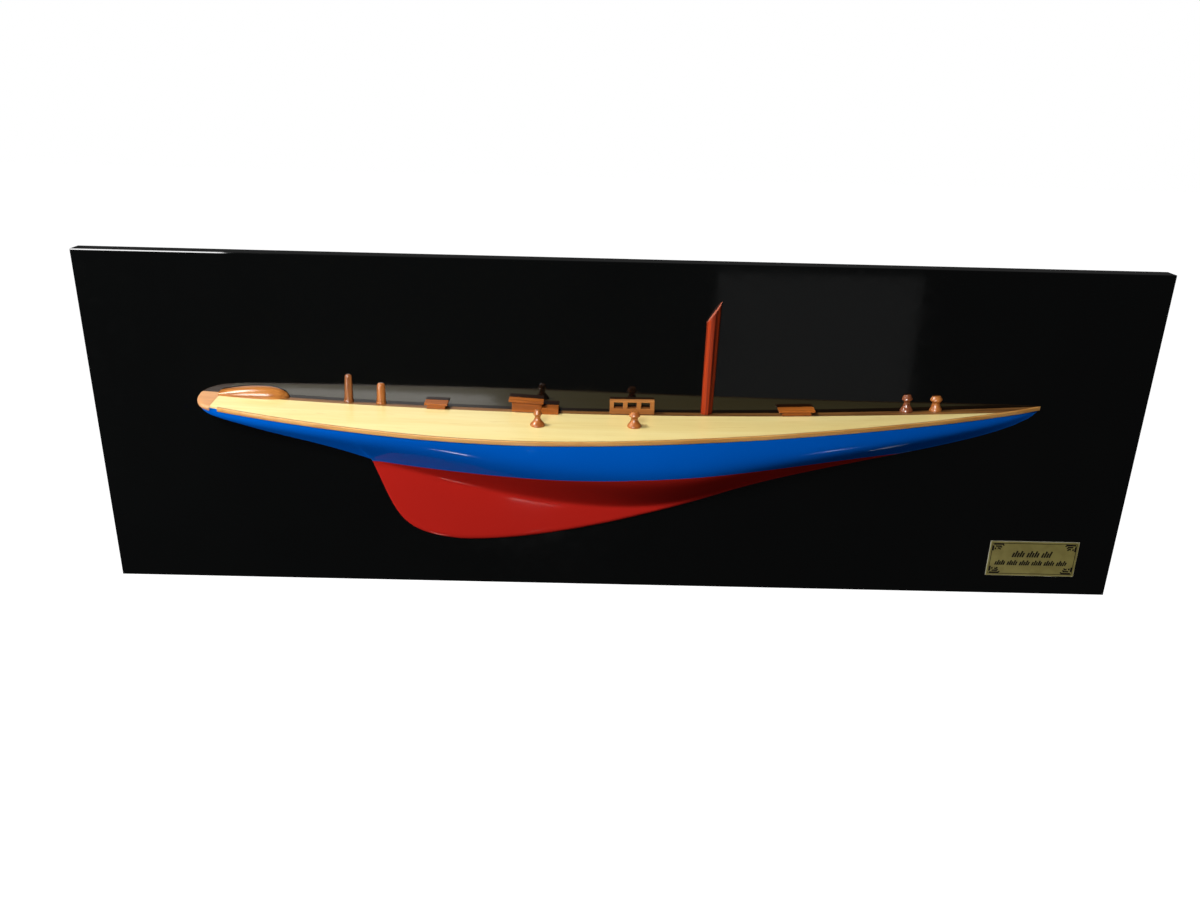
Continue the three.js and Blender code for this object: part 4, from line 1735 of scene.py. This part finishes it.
@dataclass
class Companionway(Assembly):
    """House under a roof that falls towards the bow, and the lower box against its fore end."""

    spot: DeckSpot = field(default_factory=lambda: DeckSpot(-90.0))
    length: float = 28.4
    outward: float = 8.0
    height: float = 9.9
    aft_overhang: float = 2.9
    fore_overhang: float = 1.7
    eave: float = 3.0
    roof_thickness: float = 2.0
    roof_slope: float = 0.02
    roof_fall: float = 0.045
    box_length: float = 15.8
    box_outward: float = 12.6
    box_height: float = 5.8
    edge: float = 0.4
    house_steps: int = 6
    box_steps: int = 4
    finish: Finish = HOUSE_WOOD

    def build(self) -> list[bpy.types.Object]:
        """Builds the house, the roof and the box.

        Returns:
            The house, the roof and the box.
        """
        wall, cover = wall_and_cover(
            self.outward, self.height, self.eave, self.roof_slope, self.roof_thickness
        )
        reach, top = self.box_outward, self.box_height
        section = [(0.0, SCRIBED), (reach, SCRIBED), (reach, top), (0.0, top)]
        half = self.length / 2
        aft, fore = -half - self.aft_overhang, half + self.fore_overhang
        start, end = half + 2 * SEAM, half + 2 * SEAM + self.box_length
        plans = {
            "companionway_house": self.spot.prism(wall, -half, half, self.house_steps, self.roof_fall),
            "companionway_roof": self.spot.prism(cover, aft, fore, fall=self.roof_fall),
            "companionway_box": self.spot.prism(section, start, end, self.box_steps),
        }
        pieces = [self.piece(f"{node}_cut", plan, node) for node, plan in plans.items()]
        for piece in pieces:
            self.soften(piece, self.edge)
        return pieces


@dataclass
class Skylight(Assembly):
    """Block with square lights cut through it to the board."""

    spot: DeckSpot = field(default_factory=lambda: DeckSpot(10.4))
    length: float = 42.6
    outward: float = 6.2
    height: float = 13.2
    lights: int = 3
    light_width: float = 8.6
    light_height: float = 6.0
    pitch: float = 13.0
    sill: float = 5.6
    edge: float = 0.3
    edge_segments: int = 2
    finish: Finish = SKYLIGHT_WOOD

    def build(self) -> list[bpy.types.Object]:
        """Lays the block out in cells, leaves the lights open and walls them.

        Returns:
            The pieces' objects.
        """
        half = self.length / 2
        middles = [(index - (self.lights - 1) / 2) * self.pitch for index in range(self.lights)]
        columns = [-half]
        for middle in middles:
            columns += [middle - self.light_width / 2, middle + self.light_width / 2]
        columns.append(half)
        rows = [SCRIBED, self.sill, self.sill + self.light_height, self.height]
        plan = MeshPlan()
        places: dict[tuple[int, int, int], int] = {}
        for depth, outward in enumerate((0.0, self.outward)):
            for i, x in enumerate(columns):
                for j, height in enumerate(rows):
                    places[depth, i, j] = len(plan.points)
                    plan.points.append(self.spot.point(x, outward, height))

        def solid(i: int, j: int) -> bool:
            """Whether a cell is wood: inside the block and not a light."""
            inside = 0 <= i < len(columns) - 1 and 0 <= j < len(rows) - 1
            return inside and not (j == 1 and i % 2 == 1)

        for i in range(len(columns) - 1):
            for j in range(len(rows) - 1):
                if not solid(i, j):
                    continue
                corners = [(i, j), (i + 1, j), (i + 1, j + 1), (i, j + 1)]
                plan.faces.append(tuple(places[0, *corner] for corner in corners))
                plan.faces.append(tuple(places[1, *corner] for corner in corners[::-1]))
                neighbours = [(i, j - 1), (i + 1, j), (i, j + 1), (i - 1, j)]
                for side, neighbour in enumerate(neighbours):
                    if not solid(*neighbour):
                        first, second = corners[side], corners[(side + 1) % 4]
                        wall = [(0, *first), (1, *first), (1, *second), (0, *second)]
                        plan.faces.append(tuple(places[corner] for corner in wall))
        block = self.piece("skylight_cut", plan, "skylight")
        self.soften(block, self.edge, self.edge_segments)
        return [block]


@dataclass
class Mast(Assembly):
    """Half-round mast, wider at the top and a little raked, cut off on a slant that rises forward."""

    spot: DeckSpot = field(default_factory=lambda: DeckSpot(82.0, upright=True))
    foot_width: float = 11.2
    top_width: float = 12.8
    foot_depth: float = 6.0
    rake: float = 0.0165
    lip: Pair = (-4.8, 89.2)
    tip: Pair = (8.2, 109.0)
    first_level: float = 0.02
    segments: int = 40
    levels: int = 14
    edge: float = 0.2
    edge_segments: int = 2
    cut_facing: float = 0.2
    crease: float = 40.0
    finish: Finish = MAST_WOOD
    cut_finish: Finish = CUT_WOOD

    def width(self, height: float) -> float:
        """Width of the pole at a height."""
        return lerp(self.foot_width, self.top_width, height / self.tip[1])

    def place(self, turn: float, height: float) -> Pair:
        """Point of the pole's surface at an angle and a height, as (forward, outward).

        Args:
            turn: Angle round the pole.
            height: Height above the deck.

        Returns:
            The point.
        """
        half = self.width(height) / 2
        outward = half * 2 * self.foot_depth / self.foot_width * math.sin(turn)
        return (self.rake * height - half * math.cos(turn), outward)

    def top(self, turn: float) -> float:
        """Height where the slanted cut meets the pole at an angle.

        Args:
            turn: Angle round the pole.

        Returns:
            The height above the deck.
        """
        rise = (self.tip[1] - self.lip[1]) / (self.tip[0] - self.lip[0])
        height = self.lip[1]
        for _ in range(SEARCH_ROUNDS):
            height = self.lip[1] + rise * (self.place(turn, height)[0] - self.lip[0])
            height = min(height, self.tip[1])
        return height

    def build(self) -> list[bpy.types.Object]:
        """Skins the pole up to its cut, and fills the cut.

        Returns:
            The pieces' objects.
        """
        turns = divided(0, math.pi, self.segments)
        tops = [self.top(turn) for turn in turns]
        rings = [[self.spot.point(*self.place(turn, 0.0), SCRIBED) for turn in turns]]
        for share in divided(self.first_level, 1, self.levels):
            ring = [(turn, top * share) for turn, top in zip(turns, tops)]
            rings.append([self.spot.point(*self.place(turn, height), height) for turn, height in ring])
        mast = self.piece("mast_turned", MeshPlan().skin(rings), "mast_stub")
        self.soften(mast, self.edge, self.edge_segments)
        return [mast]

    def dress(self, pieces: Sequence[bpy.types.Object], effects: Effects) -> None:
        """Varnishes the mast and leaves the cut bare.

        Args:
            pieces: Pieces that build made.
            effects: The node groups and the materials made so far.
        """
        super().dress(pieces, effects)
        mast = pieces[0].data
        mast.materials.append(self.cut_finish.material(effects))
        for face in mast.polygons:
            if face.normal.z > self.cut_facing:
                face.material_index = 1


@dataclass(frozen=True)
class StrokeRow:
    """Row of slanted strokes across the nameplate, with its sizes in millimetres."""

    middle: float
    length: float
    tall: float
    pitch: float


@dataclass
class Nameplate(Assembly):
    """Brass plate with a border, stepped corner frets and rows of slanted strokes."""

    bevel: float = 0.3
    ink_thickness: float = 0.05
    ink_sunk: float = 0.3
    border_inset: float = 2.4
    border_width: float = 0.6
    corner_reach: Pair = (10.0, 7.2)
    fret_gap: float = 1.1
    fret_width: float = 1.6
    fret_steps: int = 3
    fret_pitch: float = 2.2
    tick: Pair = (0.4, 1.6)
    rows: tuple[StrokeRow, ...] = (
        StrokeRow(middle=5.2, length=42.0, tall=7.0, pitch=2.5),
        StrokeRow(middle=-4.6, length=75.0, tall=5.6, pitch=2.1),
    )
    slant: float = 0.3
    group: int = 6
    short_share: float = 0.72
    stroke_share: float = 0.72
    face_facing: float = 0.5
    finish: Finish = PLATE_FACE
    edge_finish: Finish = PLATE_EDGE
    ink_finish: Finish = PLATE_INK

    def __post_init__(self) -> None:
        """Reads the plate's place from the frame."""
        low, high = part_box("nameplate")
        self.low, self.high = Vector(low), Vector(high)
        self.middle = (self.low + self.high) / 2
        self.half = (self.high - self.low) / 2

    def bar(self, plan: MeshPlan, start: Pair, end: Pair, width: float) -> None:
        """Adds an inked bar on the plate's face.

        Args:
            plan: Plan that the bar is added to.
            start: One end from the plate's middle, in millimetres.
            end: The other end.
            width: Its width.
        """
        along = Vector((end[0] - start[0], end[1] - start[1])).normalized()
        across = Vector((-along.y, along.x)) / 2
        face = self.low.y
        rings = []
        for depth in (face + self.ink_sunk * self.ink_thickness * MM, face - self.ink_thickness * MM):
            ring = []
            for point, side in ((start, 1), (start, -1), (end, -1), (end, 1)):
                x = point[0] + across.x * width * side
                z = point[1] + across.y * width * side
                ring.append(Vector((self.middle.x + x * MM, depth, self.middle.z + z * MM)))
            rings.append(ring)
        plan.skin(rings)

    def border(self, plan: MeshPlan) -> None:
        """Adds the line that runs round the plate.

        Args:
            plan: Plan that the line is added to.
        """
        x = self.half.x / MM - self.border_inset
        z = self.half.z / MM - self.border_inset
        reach = self.border_width / 2
        for height in (z, -z):
            self.bar(plan, (-x - reach, height), (x + reach, height), self.border_width)
        for side in (-x, x):
            self.bar(plan, (side, -z + reach), (side, z - reach), self.border_width)

    def fret(self, plan: MeshPlan, side: int, up: int) -> None:
        """Adds a stepped fret in one corner of the border.

        Args:
            plan: Plan that the fret is added to.
            side: 1 for the right end of the plate, -1 for the left.
            up: 1 for the upper edge, -1 for the lower.
        """
        corner_x = self.half.x / MM - self.border_inset - self.fret_gap
        corner_z = self.half.z / MM - self.border_inset - self.fret_gap
        near, far = self.tick
        for step in range(self.fret_steps):
            inset = step * self.fret_pitch
            left = 1 - step / (self.fret_steps + 1)
            long = (self.corner_reach[0] - inset) * left
            tall = (self.corner_reach[1] - inset) * left
            x, z = side * (corner_x - inset), up * (corner_z - inset)
            end_x, end_z = side * (corner_x - inset - long), up * (corner_z - inset - tall)
            self.bar(plan, (x, z), (end_x, z), self.fret_width)
            self.bar(plan, (x, z - up * self.fret_width), (x, end_z), self.fret_width)
            self.bar(plan, (end_x, z - up * near), (end_x, z - up * far), self.fret_width)

    def strokes(self, plan: MeshPlan) -> None:
        """Adds the rows of slanted strokes, in groups of long and short ones.

        Args:
            plan: Plan that the strokes are added to.
        """
        for row in self.rows:
            for index in range(int(row.length / row.pitch)):
                if index % self.group == self.group - 1:
                    continue
                high = row.tall * (1.0 if index % 2 else self.short_share)
                x = -row.length / 2 + (index + 0.5) * row.pitch
                foot = (x - self.slant * row.tall / 2, row.middle - row.tall / 2)
                head = (foot[0] + self.slant * high, foot[1] + high)
                self.bar(plan, foot, head, self.stroke_share * row.pitch)

    def build(self) -> list[bpy.types.Object]:
        """Builds the plate and what is engraved in it.

        Returns:
            The plate and the engraving.
        """
        plate = self.piece("nameplate_plate", MeshPlan().block(self.low, self.high), "nameplate")
        self.soften(plate, self.bevel)
        ink = MeshPlan()
        self.border(ink)
        for side in (-1, 1):
            for up in (-1, 1):
                self.fret(ink, side, up)
        self.strokes(ink)
        return [plate, self.piece("nameplate_engraving", ink, None)]

    def dress(self, pieces: Sequence[bpy.types.Object], effects: Effects) -> None:
        """Gives the plate its brass, bare bright edges and inked engraving.

        Args:
            pieces: Pieces that build made.
            effects: The node groups and the materials made so far.
        """
        plate, engraving = pieces
        self.coat(plate, self.finish, effects)
        plate.data.materials.append(self.edge_finish.material(effects))
        for face in plate.data.polygons:
            face.material_index = 0 if abs(face.normal.y) > self.face_facing else 1
        plate.modifiers["softened_edges"].material = 1
        self.coat(engraving, self.ink_finish, effects)


@dataclass(frozen=True)
class Softbox:
    """Soft light that hangs in the studio, with places and sizes in metres.

    Args:
        name: Name of the light.
        place: Where it hangs.
        aim: Point that it faces.
        size: Its width and height.
        power: Its power in watts.
        mirrored: Whether it shows in gloss and lights nothing, or the other way round.
    """

    name: str
    place: Triple
    aim: Triple
    size: Pair
    power: float
    mirrored: bool = False

    def hang(self) -> None:
        """Hangs the light in the scene."""
        data = bpy.data.lights.new(self.name, "AREA")
        data.shape = "RECTANGLE"
        data.size, data.size_y = self.size
        data.energy = self.power
        light = bpy.data.objects.new(self.name, data)
        light.location = self.place
        towards = Vector(self.aim) - Vector(self.place)
        light.rotation_euler = towards.to_track_quat("-Z", "Y").to_euler()
        light.visible_diffuse = not self.mirrored
        light.visible_glossy = self.mirrored
        bpy.context.scene.collection.objects.link(light)


@dataclass(frozen=True)
class Studio:
    """Camera, soft lights, pale floor and white surroundings, in metres and degrees."""

    lens: float = 30.0
    nearest: float = 0.01
    camera_place: Triple = (-0.0275, -0.92886, 0.33333)
    camera_turn: Triple = (68.9153, -1.3954, 0.0119)
    floor_height: float = -1.2
    floor_reach: float = 14.0
    floor_tone: float = 0.9
    floor_roughness: float = 0.9
    floor_glow: float = 1.0
    ambient: float = 0.055
    room_glow: float = 0.045
    softboxes: tuple[Softbox, ...] = (
        Softbox("lamp_above", (-0.75, -0.12, 1.1), (-0.1, -0.05, 0.0), (0.3, 0.3), 13.6),
        Softbox("lamp_left", (-1.6, -0.3, -0.1), (-0.1, 0.0, 0.0), (0.35, 0.35), 11.5),
        Softbox("lamp_front", (-0.43, -1.1, 0.74), (-0.1, 0.0, 0.0), (0.35, 0.25), 11.5),
        Softbox("window_front", (-0.75, -1.85, 0.85), (-0.1, 0.0, 0.0), (1.0, 0.9), 44.0, True),
        Softbox("side_panel", (-2.3, -2.3, -0.5), (-0.25, 0.0, 0.05), (0.3, 0.5), 10.0, True),
        Softbox("high_panel_left", (-1.3, -0.35, 0.6), (-0.1, 0.0, 0.0), (0.25, 0.25), 2.0, True),
        Softbox("high_panel_stern", (-0.85, -0.16, 1.0), (-0.37, 0.0, 0.04), (0.4, 0.3), 8.0, True),
        Softbox("low_panel_aft", (-0.18, -1.7, -1.26), (-0.08, -0.09, 0.0), (0.1, 0.08), 2.5, True),
        Softbox("low_panel_fore", (0.59, -0.36, -0.63), (0.2, -0.06, 0.0), (0.07, 0.05), 1.0, True),
        Softbox("low_panel_side", (-0.37, -0.14, -0.77), (-0.15, -0.07, 0.0), (0.06, 0.06), 1.0, True),
        Softbox("low_panel_fin", (-0.16, -1.14, -0.53), (-0.09, -0.03, -0.07), (0.1, 0.03), 0.8, True),
        Softbox("dim_panel_right", (0.63, -2.0, -0.42), (0.63, 0.0, -0.42), (0.6, 0.4), 0.11, True),
        Softbox("window_behind", (0.1, 1.7, -0.45), (0.0, 0.0, 0.0), (1.6, 0.6), 15.0, True),
    )

    def camera(self) -> None:
        """Stands the camera at the viewing angle of the photograph."""
        data = bpy.data.cameras.new("photographer")
        data.lens = self.lens
        data.clip_start = self.nearest
        camera = bpy.data.objects.new("photographer", data)
        camera.location = self.camera_place
        camera.rotation_euler = [math.radians(angle) for angle in self.camera_turn]
        bpy.context.scene.collection.objects.link(camera)
        bpy.context.scene.camera = camera

    def floor(self) -> None:
        """Lays the pale floor well below the board."""
        reach = self.floor_reach
        corners = [(-reach, -reach), (reach, -reach), (reach, reach), (-reach, reach)]
        mesh = bpy.data.meshes.new("floor")
        mesh.from_pydata([(x, y, self.floor_height) for x, y in corners], [], [(0, 1, 2, 3)])
        floor = bpy.data.objects.new("floor", mesh)
        bpy.context.scene.collection.objects.link(floor)
        material = bpy.data.materials.new("floor_white")
        material.use_nodes = True
        paint = {
            "Base Color": (self.floor_tone, self.floor_tone, self.floor_tone, 1.0),
            "Roughness": self.floor_roughness,
            "Emission Color": WHITE,
            "Emission Strength": self.floor_glow,
        }
        Sheet(material.node_tree).feed(material.node_tree.nodes["Principled BSDF"], paint)
        mesh.materials.append(material)
        floor.visible_diffuse = False
        floor.visible_glossy = False

    def surroundings(self) -> None:
        """Sets a white backdrop, soft ambient light and an even dim grey for the gloss to mirror."""
        room = bpy.data.worlds.new("studio")
        bpy.context.scene.world = room
        room.use_nodes = True
        room.node_tree.nodes.clear()
        sheet = Sheet(room.node_tree)
        path = sheet.add("ShaderNodeLightPath").outputs
        change = self.room_glow - self.ambient
        ambient = sheet.math("MULTIPLY_ADD", path["Is Glossy Ray"], change, self.ambient)
        strength = sheet.math("MAXIMUM", ambient, path["Is Camera Ray"])
        backdrop = sheet.add("ShaderNodeBackground", {"Color": WHITE, "Strength": strength})
        sheet.add("ShaderNodeOutputWorld", {"Surface": backdrop.outputs[0]})
        bpy.context.scene.view_settings.view_transform = "Standard"

    def build(self) -> None:
        """Sets the studio up."""
        self.camera()
        for softbox in self.softboxes:
            softbox.hang()
        self.floor()
        self.surroundings()


def fittings() -> list[Assembly]:
    """Fittings that stand on the deck, from the stern to the bow.

    Returns:
        The fittings' assemblies.
    """
    tall = PostSizes(radius=4.2, foot=4.8, height=27.0, taper=0.9)
    short = PostSizes(radius=4.4, foot=4.9, height=20.2, taper=0.6)
    aft_capstan = SpoolSizes(foot=6.8, neck=2.7, head=4.0, crown=2.6, height=14.8)
    fore_capstan = SpoolSizes(foot=6.6, neck=3.2, head=5.2, crown=3.4, height=14.4)
    aft_bitt = SpoolSizes(foot=6.2, neck=3.1, head=5.1, crown=3.3, height=16.6)
    fore_bitt = SpoolSizes(foot=6.0, neck=3.7, head=5.8, crown=3.9, height=14.6)
    return [
        Dinghy(),
        Turning("tall_post", DeckSpot(-260.8), tall.profile(), half=True, finish=POST_WOOD),
        Turning("short_post", DeckSpot(-229.9), short.profile(), half=True),
        Hatch("aft_hatch", DeckSpot(-176.3), length=17.4, outward=9.3, overhang=2.2, eave=1.4),
        Companionway(),
        Turning("capstan_aft", DeckSpot(-77.9, 39.8), aft_capstan.profile(), half=False),
        Skylight(),
        Turning("capstan_fore", DeckSpot(11.7, 37.2), fore_capstan.profile(), half=False),
        Mast(),
        Hatch("fore_hatch", DeckSpot(167.5), length=28.0, outward=9.3, overhang=3.2, eave=1.7),
        Turning("bitt_aft", DeckSpot(274.1), aft_bitt.profile(), half=True, finish=BITT_WOOD),
        Turning("bitt_fore", DeckSpot(302.0), fore_bitt.profile(), half=True),
    ]


def main() -> None:
    """Builds and dresses the whole model and the studio round it."""
    logging.basicConfig(level=logging.INFO, format="%(name)s: %(message)s")
    Studio().build()
    effects = Effects()
    for assembly in [Backboard(), Hull(), Decking(), SternCap(), *fittings(), Nameplate()]:
        pieces = assembly.build()
        assembly.dress(pieces, effects)
        for piece in pieces:
            log.info("%s: %d faces", piece.name, len(piece.data.polygons))


if __name__ == "__main__":
    main()
